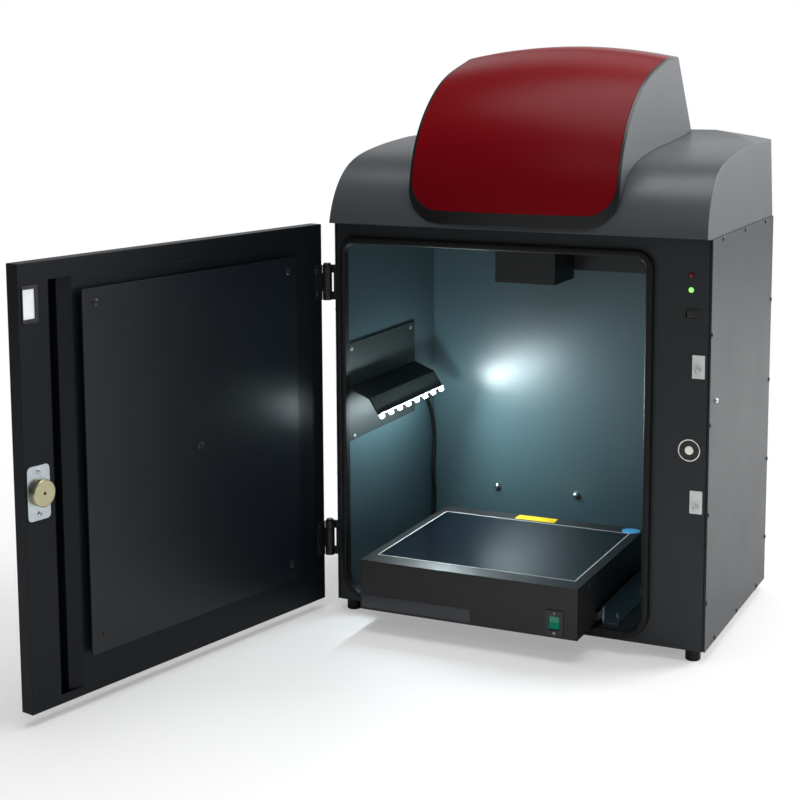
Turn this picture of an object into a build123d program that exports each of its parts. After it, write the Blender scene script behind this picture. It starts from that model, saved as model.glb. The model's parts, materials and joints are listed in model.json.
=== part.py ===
from build123d import *
import math
import os

os.makedirs("parts", exist_ok=True)

# Every place is written in the cabinet's own measuring frame, in millimetres: x from the left
# side panel's outer face, y from the front panel's face towards the back, z from the bottom edge
# of the cabinet. The planes below then stand that frame on its feet, centred under the object.

# Cabinet
cabinet_width = 478.6
cabinet_depth = 302.8
cabinet_height = 483.0
side_sheet = 1.6
body_sheet = 2.0
liner_sheet = 1.5
edge_gap = 1.8
corner_flange = 12.0
deck_drop = 11.0
pan_depth = 11.7
foot_flange = 32.0
foot_height = 14.0
foot_radius = 9.0
foot_side_inset = 17.0
foot_front_inset = 12.0

# Darkroom chamber and the opening in front of it
chamber_left = 14.0
compartment_width = 63.6
chamber_back_room = 29.8
chamber_top_room = 22.0
opening_left_jamb = 3.7
opening_right_jamb = 12.4
opening_bottom = 13.0
opening_top_jamb = 1.5
opening_low_radius = 25.0
opening_high_radius = 12.0
gasket_width = 8.6
gasket_bulb = 9.0
gasket_lip = 1.5

# Hood over the cabinet
hood_overhang = 18.0
hood_lip_rise = 2.5
hood_curve = [(0.0, 46.0), (18.0, 64.0), (45.0, 77.5), (95.0, 88.0), (150.0, 94.0)]
hood_back_rise = 109.0
hood_end_rise = 98.0
hood_crown = 21.0
hood_lean = 4.0
hood_inset = 1.5
hood_wall = 3.0
hood_hole_width = 190.0
hood_hole_front = 62.0
hood_hole_back_room = 64.8

# Dome on the hood, with its red cover
dome_half_width = 132.0
dome_centre_back = 62.8
dome_centre_rise = 22.0
dome_reach = 267.0
dome_rise = 195.0
dome_power = 2.25
dome_crown = 14.0
dome_wall = 3.0
dome_bottom_rise = 8.0
dome_corner = 40.0
dome_cavity_rise = 50.0
dome_rear_top_back = 74.8
dome_rear_top_rise = 199.0
dome_rear_low_back = 15.8
dome_rear_low_rise = 114.6
cover_thick = 3.0
cover_side_band = 3.5
cover_bottom_band = 15.5
cover_corner = 36.0
cover_back = 99.8
cover_joint = 0.3
shell_clearance = 0.15

# Door, written as it lies when closed, then swung open about its pin
door_open = 102.4
door_right_inset = 3.6
door_top_inset = 1.0
door_thick = 17.0
door_gap = 9.5
door_lap = 6.0
door_sheet = 1.5
door_hinge_strip = 22.0
door_free_strip = 40.0
door_groove = 15.0
door_slope = 17.0
door_slope_drop = 5.0
door_top_strip = 20.0
door_bottom_strip = 10.0
pin_x = -9.5
pin_y = -3.0

# Baffle on the door, its spacers and screws
baffle_left_margin = 35.0
baffle_right_margin = 7.0
baffle_bottom = 44.0
baffle_top_margin = 34.5
baffle_sheet = 2.0
baffle_corner = 3.0
spacer_length = 6.0
spacer_radius = 4.0
baffle_screw_edge = 15.0
baffle_screw_low = 20.0
baffle_screw_high = 16.5
baffle_head_radius = 4.5
baffle_head = 1.2

# Window in the door's free strip
window_side_margin = 3.0
window_width = 20.0
window_top_margin = 26.0
window_height = 34.0
window_rim = 2.6
window_rim_proud = 1.0
window_tube = 1.2
pane_thick = 3.0
pane_clearance = 0.2

# Latch on the door and its magnet on the cabinet
latch_z = 239.0
latch_inset = 23.2
latch_plate_width = 30.2
latch_plate_height = 58.5
latch_plate_sheet = 1.5
latch_plate_corner = 5.0
latch_plate_offset = 2.0
latch_disc_radius = 14.75
latch_disc_height = 7.0
latch_disc_hole = 1.8
latch_screw_spacing = 46.0
magnet_radius = 13.0
magnet_core_radius = 5.0
magnet_rim = 1.2
magnet_recess = 1.0
magnet_proud = 0.5
magnet_depth = 12.0

# Hinges
hinge_length = 44.0
hinge_low_z = 80.0
hinge_high_drop = 74.0
hinge_end_knuckle = 10.0
hinge_knuckle_radius = 6.0
hinge_pin_radius = 2.5
hinge_pin_clearance = 0.05
hinge_gap = 0.3
hinge_sheet = 2.5
hinge_frame_leaf = 22.0
hinge_door_leaf = 14.5
hinge_pin_head = 5.2
hinge_screw_spacing = 29.0

# Small pieces on the front panel
lamp_radius = 3.0
lamp_proud = 3.0
lamp_depth = 10.0
red_lamp_inset = 24.8
red_lamp_drop = 40.5
green_lamp_inset = 24.3
green_lamp_drop = 57.7
power_switch_inset = 22.8
power_switch_drop = 86.0
power_switch_width = 18.6
power_switch_height = 12.1
interlock_inset = 13.8
interlock_high_z = 337.1
interlock_low_z = 178.6
interlock_width = 14.6
interlock_height = 26.9
interlock_sheet = 1.5
interlock_depth = 28.0
peg_radius = 3.0
peg_clearance = 0.08
peg_proud = 10.0
peg_travel = 6.0
peg_tail = 16.0
high_peg_drop = 3.6
low_peg_drop = 5.4

# Rockers of both switches
bezel_proud = 1.4
switch_depth = 20.0
rocker_tilt = 8.0
rocker_pivot_depth = 4.0
rocker_reach = 5.6
rocker_dish = 1.0
rocker_tail = 4.0
rocker_clearance = 0.35
rocker_swing_room = 1.0
rocker_rim = 2.0
rocker_shaft_radius = 1.2
rocker_shaft_clearance = 0.05
rocker_shaft_end = 0.8

# Lamp case on its slides: a drawer of the chamber, written pushed in, then drawn out
tray_travel = 66.5
case_left_room = 49.5
case_right_room = 70.7
case_front = 2.7
case_back_gap = 3.5
case_bottom = 15.0
case_height = 62.2
case_sheet = 1.5
lid_thick = 3.5
glass_left = 10.2
glass_right = 11.8
glass_front = 26.8
glass_back = 25.0
glass_thick = 2.0
glass_ledge = 5.0
glass_gap = 0.3
uv_lamp_radius = 8.0
uv_lamp_count = 6
uv_lamp_pitch = 36.0
uv_lamp_rise = 32.0
socket_size = 14.0
tray_switch_inset = 28.1
tray_switch_z = 33.0
tray_switch_width = 21.9
tray_switch_height = 30.0
tray_rocker_width = 13.0
tray_rocker_height = 16.4
slide_thick = 4.6
slide_height = 10.0
slide_rise = 5.0
slide_lead = 64.0
slide_gap = 0.4
rail_web = 3.0
rail_height = 22.0
rail_foot = 20.0
rail_front = 12.0
rail_back_gap = 6.0
rail_bolt_radius = 3.2
rail_bolt_head = 3.0

# Lighting bracket on the chamber's left wall
bracket_front = 5.0
bracket_length = 198.0
bracket_bottom = 206.0
bracket_height = 125.0
bracket_sheet = 2.0
flap_rise = 70.5
flap_reach = 31.0
flap_drop = 12.5
flap_tip_reach = 43.0
flap_tip_drop = 31.5
led_count = 8
led_pitch = 26.4
led_radius = 3.2
led_length = 5.0
board_thick = 1.6
cable_radius = 2.5
cable_wall_gap = 0.1

# Camera over the chamber, and the emission filter under it
camera_left_shift = 5.5
camera_back_shift = 15.0
camera_size = 62.0
camera_bottom = 560.0
camera_height = 80.0
barrel_radius = 24.0
barrel_bottom = 430.0
ring_wall = 4.5
ring_clearance = 0.3
zoom_ring_bottom = 490.0
focus_ring_bottom = 522.0
ring_height = 22.0
camera_foot = 32.0
camera_plate = 3.0
filter_box_width = 80.0
filter_box_depth = 73.0
filter_box_bottom = 404.0
filter_box_wall = 2.0
filter_radius = 30.0
filter_thick = 3.0
filter_hole_radius = 27.0
lens_hole_clearance = 2.0
ceiling_baffle_bottom = 415.0

# Electronics in the side compartment
supply_width = 44.0
supply_inlet_room = 48.8
supply_height = 50.0
supply_front = 70.0
compartment_gap = 7.0
inlet_inset = 32.6
inlet_z = 60.0
inlet_width = 28.0
inlet_height = 22.0
inlet_flange_width = 48.0
inlet_proud = 2.0
inlet_depth = 24.0
inlet_socket_depth = 16.0
inlet_wall = 3.0
vent_rows = 7
vent_pitch = 12.0
vent_length = 36.0
vent_height = 4.0
vent_bottom = 130.0

# Fasteners
side_head_radius = 3.1
side_head = 1.4
head_taper = 0.9
panel_top_screw_drop = 3.2
panel_low_screw_z = 3.6
panel_edge_inset = 4.0
panel_row_first = 45.8
panel_row_pitch = 106.0
panel_column_first = 58.4
panel_column_pitch = 105.5
nut_radius = 5.0
nut_height = 6.0
nut_left_room = 96.7
nut_spacing = 115.1
nut_z = 93.0
stud_y = 25.8
stud_z = 294.3
stud_radius = 3.3
stud_height = 2.6

# Places that follow from the sizes above
front_left = side_sheet + edge_gap
front_right = cabinet_width - side_sheet - edge_gap
inner_left = side_sheet
inner_right = cabinet_width - side_sheet
inner_back = cabinet_depth - body_sheet
deck_z = cabinet_height - deck_drop
chamber_right = cabinet_width - compartment_width
chamber_back = cabinet_depth - chamber_back_room
chamber_top = cabinet_height - chamber_top_room
opening_left = chamber_left + opening_left_jamb
opening_right = chamber_right - opening_right_jamb
opening_top = chamber_top - opening_top_jamb
door_left = -door_lap
door_right = cabinet_width - door_right_inset
door_height = cabinet_height - door_top_inset
door_inner = -door_gap
door_outer = door_inner - door_thick
free_strip_left = door_right - door_free_strip
groove_left = free_strip_left - door_groove
latch_x = cabinet_width - latch_inset
hinge_high_z = cabinet_height - hinge_high_drop
red_lamp_x = cabinet_width - red_lamp_inset
red_lamp_z = cabinet_height - red_lamp_drop
green_lamp_x = cabinet_width - green_lamp_inset
green_lamp_z = cabinet_height - green_lamp_drop
power_switch_x = cabinet_width - power_switch_inset
power_switch_z = cabinet_height - power_switch_drop
interlock_x = cabinet_width - interlock_inset
camera_x = (chamber_left + chamber_right) / 2 - camera_left_shift
camera_y = chamber_back / 2 + camera_back_shift
camera_top = camera_bottom + camera_height
case_left = chamber_left + case_left_room
case_right = chamber_right - case_right_room
case_width = case_right - case_left
case_back = chamber_back - case_back_gap
case_depth = case_back - case_front
tray_switch_x = case_right - tray_switch_inset
inlet_x = cabinet_width - inlet_inset
case_top = case_bottom + case_height
lid_bottom = case_top - lid_thick
baffle_face = door_inner + spacer_length + baffle_sheet
window_right = door_right - window_side_margin
window_left = window_right - window_width
window_top = door_height - window_top_margin
window_bottom = window_top - window_height
pan_top = pan_depth


def swung(x, y):
    """The place of a point of the closed door once the door stands open."""
    turn = math.radians(-door_open)
    dx, dy = x - pin_x, y - pin_y
    return (pin_x + dx * math.cos(turn) - dy * math.sin(turn),
            pin_y + dx * math.sin(turn) + dy * math.cos(turn))


door_corner_x, _ = swung(door_right, door_outer)
_, door_corner_y = swung(door_right, door_inner)
middle_x = (door_corner_x + cabinet_width + stud_height) / 2
middle_y = (door_corner_y + cabinet_depth + inlet_proud) / 2

home = Plane(origin=(-middle_x, -middle_y, foot_height))
hinge_foot_x, hinge_foot_y = swung(0, 0)
door_home = Plane(
    origin=home.from_local_coords((hinge_foot_x, hinge_foot_y, 0)),
    x_dir=Vector(1, 0, 0).rotate(Axis.Z, -door_open),
    z_dir=(0, 0, 1),
)
tray_home = Plane(origin=home.from_local_coords((0, -tray_travel, 0)))


def plan(base, z):
    """A sketching plane seen from above, at height z."""
    return Plane(origin=base.from_local_coords((0, 0, z)), x_dir=base.x_dir, z_dir=base.z_dir)


def front(base, y):
    """A sketching plane seen from the front, at depth y. Extrusions come towards the viewer."""
    return Plane(origin=base.from_local_coords((0, y, 0)), x_dir=base.x_dir, z_dir=-base.y_dir)


def side(base, x):
    """A sketching plane seen from the side, at width x. Extrusions go to the right."""
    return Plane(origin=base.from_local_coords((x, 0, 0)), x_dir=base.y_dir, z_dir=base.x_dir)


def block(x0, x1, y0, y1, z0, z1, mode=Mode.ADD):
    """A box between two corners."""
    with Locations((x0, y0, z0)):
        Box(x1 - x0, y1 - y0, z1 - z0, align=Align.MIN, mode=mode)


turns = {"x": (0, 90, 0), "y": (-90, 0, 0), "z": (0, 0, 0)}


def rod(axis, foot, radius, length, mode=Mode.ADD):
    """A round bar that starts at foot and runs along an axis."""
    with Locations(Location(foot, turns[axis])):
        Cylinder(radius, length, align=(Align.CENTER, Align.CENTER, Align.MIN), mode=mode)


def cone(axis, foot, low_radius, high_radius, length):
    """A tapered round bar that starts at foot and runs along an axis."""
    with Locations(Location(foot, turns[axis])):
        Cone(low_radius, high_radius, length, align=(Align.CENTER, Align.CENTER, Align.MIN))


def put(form, mode=Mode.ADD):
    """Joins or cuts a form of the cabinet's frame where it already stands."""
    with Locations(home.location.inverse()):
        add(form.part, mode=mode)


def rounded_opening(margin, mode=Mode.ADD):
    """The outline of the door opening, grown by a margin, in the front view."""
    left, right = opening_left - margin, opening_right + margin
    low, high = opening_bottom - margin, opening_top + margin
    with BuildLine() as outline:
        FilletPolyline(
            (left, low), (right, low), (right, high), (left, high),
            radius=[
                opening_low_radius + margin, opening_low_radius + margin,
                opening_high_radius + margin, opening_high_radius + margin,
            ],
            close=True,
        )
    make_face(outline.edges(), mode=mode)


# Base pan: the chamber's floor with a skirt turned down and flanges for the feet
with BuildPart(home) as base_pan:
    block(inner_left, inner_right, body_sheet, inner_back, 0, pan_top)
    block(inner_left + body_sheet, inner_right - body_sheet, 2 * body_sheet,
          inner_back - body_sheet, 0, pan_top - body_sheet, Mode.SUBTRACT)
    for left in (inner_left, inner_right - foot_flange):
        block(left, left + foot_flange, body_sheet, inner_back, 0, body_sheet)
base_pan.part.label = "base_pan"


def add_corner_flanges(face_y, inward):
    """The turned edges of a front or back panel, that the side panels are screwed to."""
    step = face_y + inward * body_sheet
    end = face_y + inward * corner_flange
    low, high = pan_top, deck_z
    near, far = sorted((face_y, step))
    block(inner_left, front_left + body_sheet, near, far, low, high)
    block(front_right - body_sheet, inner_right, near, far, low, high)
    near, far = sorted((face_y, end))
    block(inner_left, inner_left + body_sheet, near, far, low, high)
    block(inner_right - body_sheet, inner_right, near, far, low, high)


# Front panel, with the door opening and the holes for what is set in it
with BuildPart(home) as front_panel:
    block(front_left, front_right, 0, body_sheet, 0, cabinet_height)
    add_corner_flanges(body_sheet, 1)
    with BuildSketch(front(home, body_sheet)):
        rounded_opening(gasket_lip)
    extrude(amount=body_sheet, mode=Mode.SUBTRACT)
    rod("y", (latch_x, 0, latch_z), magnet_radius + peg_clearance, body_sheet, Mode.SUBTRACT)
    for lamp in ((red_lamp_x, red_lamp_z), (green_lamp_x, green_lamp_z)):
        rod("y", (lamp[0], 0, lamp[1]), lamp_radius + peg_clearance, body_sheet, Mode.SUBTRACT)
    for z in (interlock_high_z - high_peg_drop, interlock_low_z - low_peg_drop):
        rod("y", (interlock_x, 0, z), peg_radius + shell_clearance, body_sheet, Mode.SUBTRACT)
    block(power_switch_x - power_switch_width / 2 + rocker_rim / 2,
          power_switch_x + power_switch_width / 2 - rocker_rim / 2, 0, body_sheet,
          power_switch_z - power_switch_height / 2 + rocker_rim / 2,
          power_switch_z + power_switch_height / 2 - rocker_rim / 2, Mode.SUBTRACT)
front_panel.part.label = "front_panel"

with BuildPart(home) as left_side_panel:
    block(0, side_sheet, 0, cabinet_depth, 0, cabinet_height)
left_side_panel.part.label = "left_side_panel"

with BuildPart(home) as right_side_panel:
    block(inner_right, cabinet_width, 0, cabinet_depth, 0, cabinet_height)
right_side_panel.part.label = "right_side_panel"

# Back panel, with cooling slots and the cut-out of the mains inlet
with BuildPart(home) as back_panel:
    block(front_left, front_right, inner_back, cabinet_depth, 0, cabinet_height)
    add_corner_flanges(inner_back, -1)
    block(inlet_x - inlet_width / 2, inlet_x + inlet_width / 2, inner_back, cabinet_depth,
          inlet_z - inlet_height / 2, inlet_z + inlet_height / 2, Mode.SUBTRACT)
    for row in range(vent_rows):
        low = vent_bottom + row * vent_pitch
        block(inlet_x - vent_length / 2, inlet_x + vent_length / 2, inner_back, cabinet_depth,
              low, low + vent_height, Mode.SUBTRACT)
back_panel.part.label = "back_panel"

# Top deck: a tray turned up at both sides, that carries the camera bracket and the hood
with BuildPart(home) as top_deck:
    block(inner_left, inner_right, body_sheet, inner_back, deck_z, cabinet_height)
    block(inner_left + body_sheet, inner_right - body_sheet, body_sheet, inner_back,
          deck_z + body_sheet, cabinet_height, Mode.SUBTRACT)
    rod("z", (camera_x, camera_y, deck_z), barrel_radius + lens_hole_clearance, body_sheet,
        Mode.SUBTRACT)
top_deck.part.label = "top_deck"

# Chamber liner, as plates that stand on the base pan
with BuildPart(home) as chamber_left_wall:
    block(chamber_left - liner_sheet, chamber_left, body_sheet, chamber_back, pan_top, chamber_top)
chamber_left_wall.part.label = "chamber_left_wall"

with BuildPart(home) as chamber_right_wall:
    block(chamber_right, chamber_right + liner_sheet, body_sheet, chamber_back, pan_top,
          chamber_top)
chamber_right_wall.part.label = "chamber_right_wall"

with BuildPart(home) as chamber_back_wall:
    block(chamber_left - liner_sheet, chamber_right + liner_sheet, chamber_back,
          chamber_back + liner_sheet, pan_top, chamber_top)
chamber_back_wall.part.label = "chamber_back_wall"

with BuildPart(home) as chamber_ceiling:
    block(chamber_left - liner_sheet, chamber_right + liner_sheet, body_sheet,
          chamber_back + liner_sheet, chamber_top, chamber_top + liner_sheet)
    rod("z", (camera_x, camera_y, chamber_top), barrel_radius + lens_hole_clearance, liner_sheet,
        Mode.SUBTRACT)
chamber_ceiling.part.label = "chamber_ceiling"

# Door seal: a rounded bulb on the panel's face and a lip over the edge of the opening
with BuildPart(home) as door_gasket:
    with BuildSketch(front(home, 0)):
        rounded_opening(gasket_width)
        rounded_opening(0, Mode.SUBTRACT)
    extrude(amount=gasket_bulb)
    fillet(door_gasket.faces().sort_by(Axis.Y)[0].edges(), gasket_width * 0.4)
    with BuildSketch(front(home, body_sheet)):
        rounded_opening(gasket_lip)
        rounded_opening(0, Mode.SUBTRACT)
    extrude(amount=body_sheet)
door_gasket.part.label = "door_gasket"

foot_places = [
    (x, y)
    for x in (foot_side_inset, cabinet_width - foot_side_inset)
    for y in (foot_front_inset, cabinet_depth - foot_front_inset)
]
with BuildPart(home) as feet:
    for x, y in foot_places:
        rod("z", (x, y, -foot_height), foot_radius, foot_height)
    chamfer(feet.faces().group_by(Axis.Z)[0].edges(), foot_radius / 9)
feet.part.label = "feet"


def hood_solid(grow):
    """The hood's side view and front view, grown by an amount, extruded and intersected."""
    top = cabinet_height
    with BuildLine(mode=Mode.PRIVATE) as plain_curve:
        Spline(
            (-hood_overhang, top + hood_lip_rise),
            *[(y, top + rise) for y, rise in hood_curve],
            (cabinet_depth, top + hood_back_rise),
        )
    grown = []
    for step in range(13):
        place, along = plain_curve.line @ (step / 12), plain_curve.line % (step / 12)
        grown.append((place.X - grow * along.Y, place.Y + grow * along.X))
    with BuildSketch(side(home, 0)) as side_view:
        with BuildLine():
            Spline(*grown)
            Polyline(grown[-1], (grown[-1][0], top), (0, top), grown[0])
        make_face()
    extrude(side_view.sketch, amount=cabinet_width)
    high = top + hood_end_rise + grow
    left, right = hood_inset - grow, cabinet_width - hood_inset + grow
    with BuildSketch(front(home, cabinet_depth + grow)) as front_view:
        with BuildLine():
            Polyline((left + hood_lean, high), (left, top), (right, top), (right - hood_lean, high))
            ThreePointArc(
                (left + hood_lean, high),
                (cabinet_width / 2, high + hood_crown),
                (right - hood_lean, high),
            )
        make_face()
    extrude(front_view.sketch, amount=2 * cabinet_depth, mode=Mode.INTERSECT)


with BuildPart(home) as hood_inside:
    hood_solid(-hood_wall)
    block(0, cabinet_width, -hood_overhang, 2 * body_sheet, cabinet_height,
          cabinet_height + hood_lip_rise + hood_wall, Mode.SUBTRACT)

with BuildPart(home) as hood_keepout:
    hood_solid(shell_clearance)

hole_left = cabinet_width / 2 - hood_hole_width / 2
with BuildPart(home) as hood_shell:
    hood_solid(0)
    put(hood_inside, Mode.SUBTRACT)
    block(hole_left, hole_left + hood_hole_width, hood_hole_front,
          cabinet_depth - hood_hole_back_room,
          cabinet_height, cabinet_height + hood_back_rise + hood_crown, Mode.SUBTRACT)
hood_shell.part.label = "hood_shell"

dome_middle = cabinet_width / 2
dome_low = cabinet_height + dome_bottom_rise
dome_centre_y = cabinet_depth - dome_centre_back
dome_rear_top_y = cabinet_depth - dome_rear_top_back
dome_rear_low_y = cabinet_depth - dome_rear_low_back
cover_back_y = cabinet_depth - cover_back


def dome_section(inset, share):
    """One slice of the dome from the side, at a share of its half width, in the current sketch."""
    drop = inset + dome_crown * share * share
    reach, rise = dome_reach - drop, dome_rise - drop
    base_z = cabinet_height + dome_centre_rise
    points = []
    for step in range(7):
        turn = math.radians(15 * step)
        along = max(math.cos(turn), 0) ** (2 / dome_power)
        points.append((dome_centre_y - reach * along,
                       base_z + rise * math.sin(turn) ** (2 / dome_power)))
    low = cabinet_height - dome_centre_rise
    behind = cabinet_depth + dome_centre_rise
    with BuildLine() as outline:
        Spline(*points, tangents=[(0, 1), (1, 0)])
        Polyline(points[-1], (behind, points[-1][1]), (behind, low), (points[0][0], low),
                 points[0])
    make_face(outline.edges())


def dome_loft(inset, side_inset):
    """The crowned form through five slices, set in from the outside by two amounts."""
    half = dome_half_width - side_inset
    slices = []
    for share in (-1, -0.5, 0, 0.5, 1):
        with BuildSketch(side(home, dome_middle + share * half)) as slice_view:
            dome_section(inset, share)
        slices.append(slice_view.sketch.face())
    loft(slices)
    rear_slope = (dome_rear_low_y - dome_rear_top_y) / (dome_rear_top_rise - dome_rear_low_rise)
    high_rise = dome_rear_top_rise + dome_crown + dome_wall + cover_thick
    high_y = dome_rear_top_y - rear_slope * (high_rise - dome_rear_top_rise)
    low_y = dome_rear_low_y + rear_slope * dome_rear_low_rise
    shift = inset * 1.2
    with BuildSketch(side(home, 0)) as behind:
        with BuildLine():
            Polyline(
                (high_y - shift, cabinet_height + high_rise),
                (low_y - shift, cabinet_height),
                (low_y - shift, cabinet_height - 2 * dome_centre_rise),
                (2 * cabinet_depth, cabinet_height - 2 * dome_centre_rise),
                (2 * cabinet_depth, cabinet_height + high_rise),
                close=True,
            )
        make_face()
    extrude(behind.sketch, amount=cabinet_width, mode=Mode.SUBTRACT)
    block(0, cabinet_width, cabinet_depth - hood_wall, 2 * cabinet_depth, 0,
          cabinet_height + high_rise, Mode.SUBTRACT)


def dome_outline(left, low, radius):
    """A front view of the dome's foot: upright sides and round lower corners."""
    right = cabinet_width - left
    high = cabinet_height + dome_centre_rise + dome_rise + dome_crown
    with BuildLine() as outline:
        FilletPolyline((left, high), (left, low), (right, low), (right, high), radius=radius)
        Line((right, high), (left, high))
    make_face(outline.edges())


dome_left = dome_middle - dome_half_width
outline_depth = dome_reach + cabinet_depth

with BuildPart(home) as dome_whole:
    dome_loft(0, 0)
    with BuildSketch(front(home, 2 * cabinet_depth)):
        dome_outline(dome_left, dome_low, dome_corner)
    extrude(amount=2 * cabinet_depth + outline_depth, mode=Mode.INTERSECT)

with BuildPart(home) as dome_core:
    dome_loft(cover_thick, 0)

with BuildPart(home) as dome_inside:
    dome_loft(cover_thick + dome_wall, dome_wall)
    block(0, cabinet_width, -dome_reach, 2 * cabinet_depth, 0,
          cabinet_height + dome_cavity_rise, Mode.SUBTRACT)

with BuildPart(home) as cover_layer:
    put(dome_whole)
    put(dome_core, Mode.SUBTRACT)
    put(hood_keepout, Mode.SUBTRACT)
    block(0, cabinet_width, cover_back_y, 2 * cabinet_depth, 0, 2 * cabinet_height, Mode.SUBTRACT)

cover_left = dome_left + cover_side_band
cover_low = dome_low + cover_bottom_band

# Red cover over the dome, let into a dark trim
with BuildPart(home) as red_cover:
    put(cover_layer)
    with BuildSketch(front(home, cover_back_y)):
        dome_outline(cover_left, cover_low, cover_corner)
    extrude(amount=cover_back_y + outline_depth, mode=Mode.INTERSECT)
red_cover.part.label = "red_cover"

with BuildPart(home) as cover_trim:
    put(cover_layer)
    with BuildSketch(front(home, cover_back_y)):
        dome_outline(cover_left - cover_joint, cover_low - cover_joint, cover_corner)
    extrude(amount=cover_back_y + outline_depth, mode=Mode.SUBTRACT)
cover_trim.part.label = "cover_trim"

with BuildPart(home) as dome_shell:
    put(dome_whole)
    put(cover_layer, Mode.SUBTRACT)
    put(dome_inside, Mode.SUBTRACT)
    put(hood_keepout, Mode.SUBTRACT)
dome_shell.part.label = "dome_shell"

# Camera, its bracket on the deck, and the zoom lens with two rings
with BuildPart(home) as camera_body:
    block(camera_x - camera_size / 2, camera_x + camera_size / 2, camera_y - camera_size / 2,
          camera_y + camera_size / 2, camera_bottom, camera_top)
    fillet(camera_body.edges().filter_by(Axis.Z), camera_size / 20)
camera_body.part.label = "camera_body"

with BuildPart(home) as camera_bracket:
    plate_y = camera_y + camera_size / 2
    block(camera_x - camera_size / 2, camera_x + camera_size / 2, plate_y, plate_y + camera_plate,
          deck_z + body_sheet, camera_top)
    block(camera_x - camera_size / 2, camera_x + camera_size / 2, plate_y, plate_y + camera_foot,
          deck_z + body_sheet, deck_z + body_sheet + camera_plate)
camera_bracket.part.label = "camera_bracket"

with BuildPart(home) as lens_barrel:
    rod("z", (camera_x, camera_y, barrel_bottom), barrel_radius, camera_bottom - barrel_bottom)
    rod("z", (camera_x, camera_y, barrel_bottom), barrel_radius - ring_wall, ring_height,
        Mode.SUBTRACT)
lens_barrel.part.label = "lens_barrel"


def add_ring(bottom):
    """A knurled control ring around the barrel."""
    inner = barrel_radius + ring_clearance
    rod("z", (camera_x, camera_y, bottom), inner + ring_wall, ring_height)
    with Locations((camera_x, camera_y, bottom)):
        with PolarLocations(inner + ring_wall, 24):
            Cylinder(ring_wall / 5, ring_height, mode=Mode.SUBTRACT,
                     align=(Align.CENTER, Align.CENTER, Align.MIN))
    rod("z", (camera_x, camera_y, bottom), inner, ring_height, Mode.SUBTRACT)


with BuildPart(home) as zoom_ring:
    add_ring(zoom_ring_bottom)
zoom_ring.part.label = "zoom_ring"

with BuildPart(home) as focus_ring:
    add_ring(focus_ring_bottom)
focus_ring.part.label = "focus_ring"

# Filter box under the chamber's ceiling, open to the lens above
box_left = camera_x - filter_box_width / 2
box_front = camera_y - filter_box_depth / 2
with BuildPart(home) as filter_box:
    block(box_left, box_left + filter_box_width, box_front, box_front + filter_box_depth,
          filter_box_bottom, chamber_top)
    block(box_left + filter_box_wall, box_left + filter_box_width - filter_box_wall,
          box_front + filter_box_wall, box_front + filter_box_depth - filter_box_wall,
          filter_box_bottom + filter_box_wall, chamber_top, Mode.SUBTRACT)
    rod("z", (camera_x, camera_y, filter_box_bottom), filter_hole_radius, filter_box_wall,
        Mode.SUBTRACT)
filter_box.part.label = "filter_box"

with BuildPart(home) as emission_filter:
    rod("z", (camera_x, camera_y, filter_box_bottom + filter_box_wall), filter_radius,
        filter_thick)
emission_filter.part.label = "emission_filter"

with BuildPart(home) as ceiling_baffle:
    block(box_left + filter_box_width, chamber_right, box_front + filter_box_depth - body_sheet,
          box_front + filter_box_depth, ceiling_baffle_bottom, chamber_top)
ceiling_baffle.part.label = "ceiling_baffle"

# Electronics beside the chamber
supply_left = chamber_right + liner_sheet + compartment_gap
with BuildPart(home) as power_supply:
    block(supply_left, supply_left + supply_width, supply_front,
          cabinet_depth - inlet_depth - supply_inlet_room,
          pan_top, pan_top + supply_height)
    fillet(power_supply.edges().filter_by(Axis.Z), liner_sheet)
power_supply.part.label = "power_supply"

with BuildPart(home) as power_inlet:
    half_w, half_h = inlet_width / 2, inlet_height / 2
    block(inlet_x - inlet_flange_width / 2, inlet_x + inlet_flange_width / 2, cabinet_depth,
          cabinet_depth + inlet_proud, inlet_z - half_h - inlet_wall, inlet_z + half_h + inlet_wall)
    block(inlet_x - half_w, inlet_x + half_w, cabinet_depth - inlet_depth, cabinet_depth,
          inlet_z - half_h, inlet_z + half_h)
    block(inlet_x - half_w + inlet_wall, inlet_x + half_w - inlet_wall,
          cabinet_depth + inlet_proud - inlet_socket_depth, cabinet_depth + inlet_proud,
          inlet_z - half_h + inlet_wall, inlet_z + half_h - inlet_wall, Mode.SUBTRACT)
power_inlet.part.label = "power_inlet"

# Lighting bracket: a plate on the left wall with a folded flap, a lamp board and its lamps
flap_x = chamber_left + bracket_sheet
flap_z = bracket_bottom + flap_rise
tip_x = flap_x - bracket_sheet + flap_tip_reach
tip_z = flap_z - flap_tip_drop
knee_x = flap_x - bracket_sheet + flap_reach
knee_z = flap_z - flap_drop
lamp_aim = Vector(tip_x - knee_x, 0, tip_z - knee_z).normalized()
lamp_back = Vector(lamp_aim.Z, 0, -lamp_aim.X)
upper_aim = Vector(knee_x - chamber_left, 0, knee_z - flap_z).normalized()
upper_back = Vector(upper_aim.Z, 0, -upper_aim.X)
knee_back = (lamp_back + upper_back) * (bracket_sheet / (1 + lamp_back.dot(upper_back)))
with BuildPart(home) as led_bracket:
    block(chamber_left, flap_x, bracket_front, bracket_front + bracket_length, bracket_bottom,
          bracket_bottom + bracket_height)
    with BuildSketch(front(home, bracket_front + bracket_length)):
        with BuildLine():
            Polyline(
                (chamber_left, flap_z),
                (knee_x, knee_z),
                (tip_x, tip_z),
                (tip_x + lamp_back.X * bracket_sheet, tip_z + lamp_back.Z * bracket_sheet),
                (knee_x + knee_back.X, knee_z + knee_back.Z),
                (chamber_left, flap_z - bracket_sheet / upper_aim.X),
                close=True,
            )
        make_face()
    extrude(amount=bracket_length)
led_bracket.part.label = "led_bracket"

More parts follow.
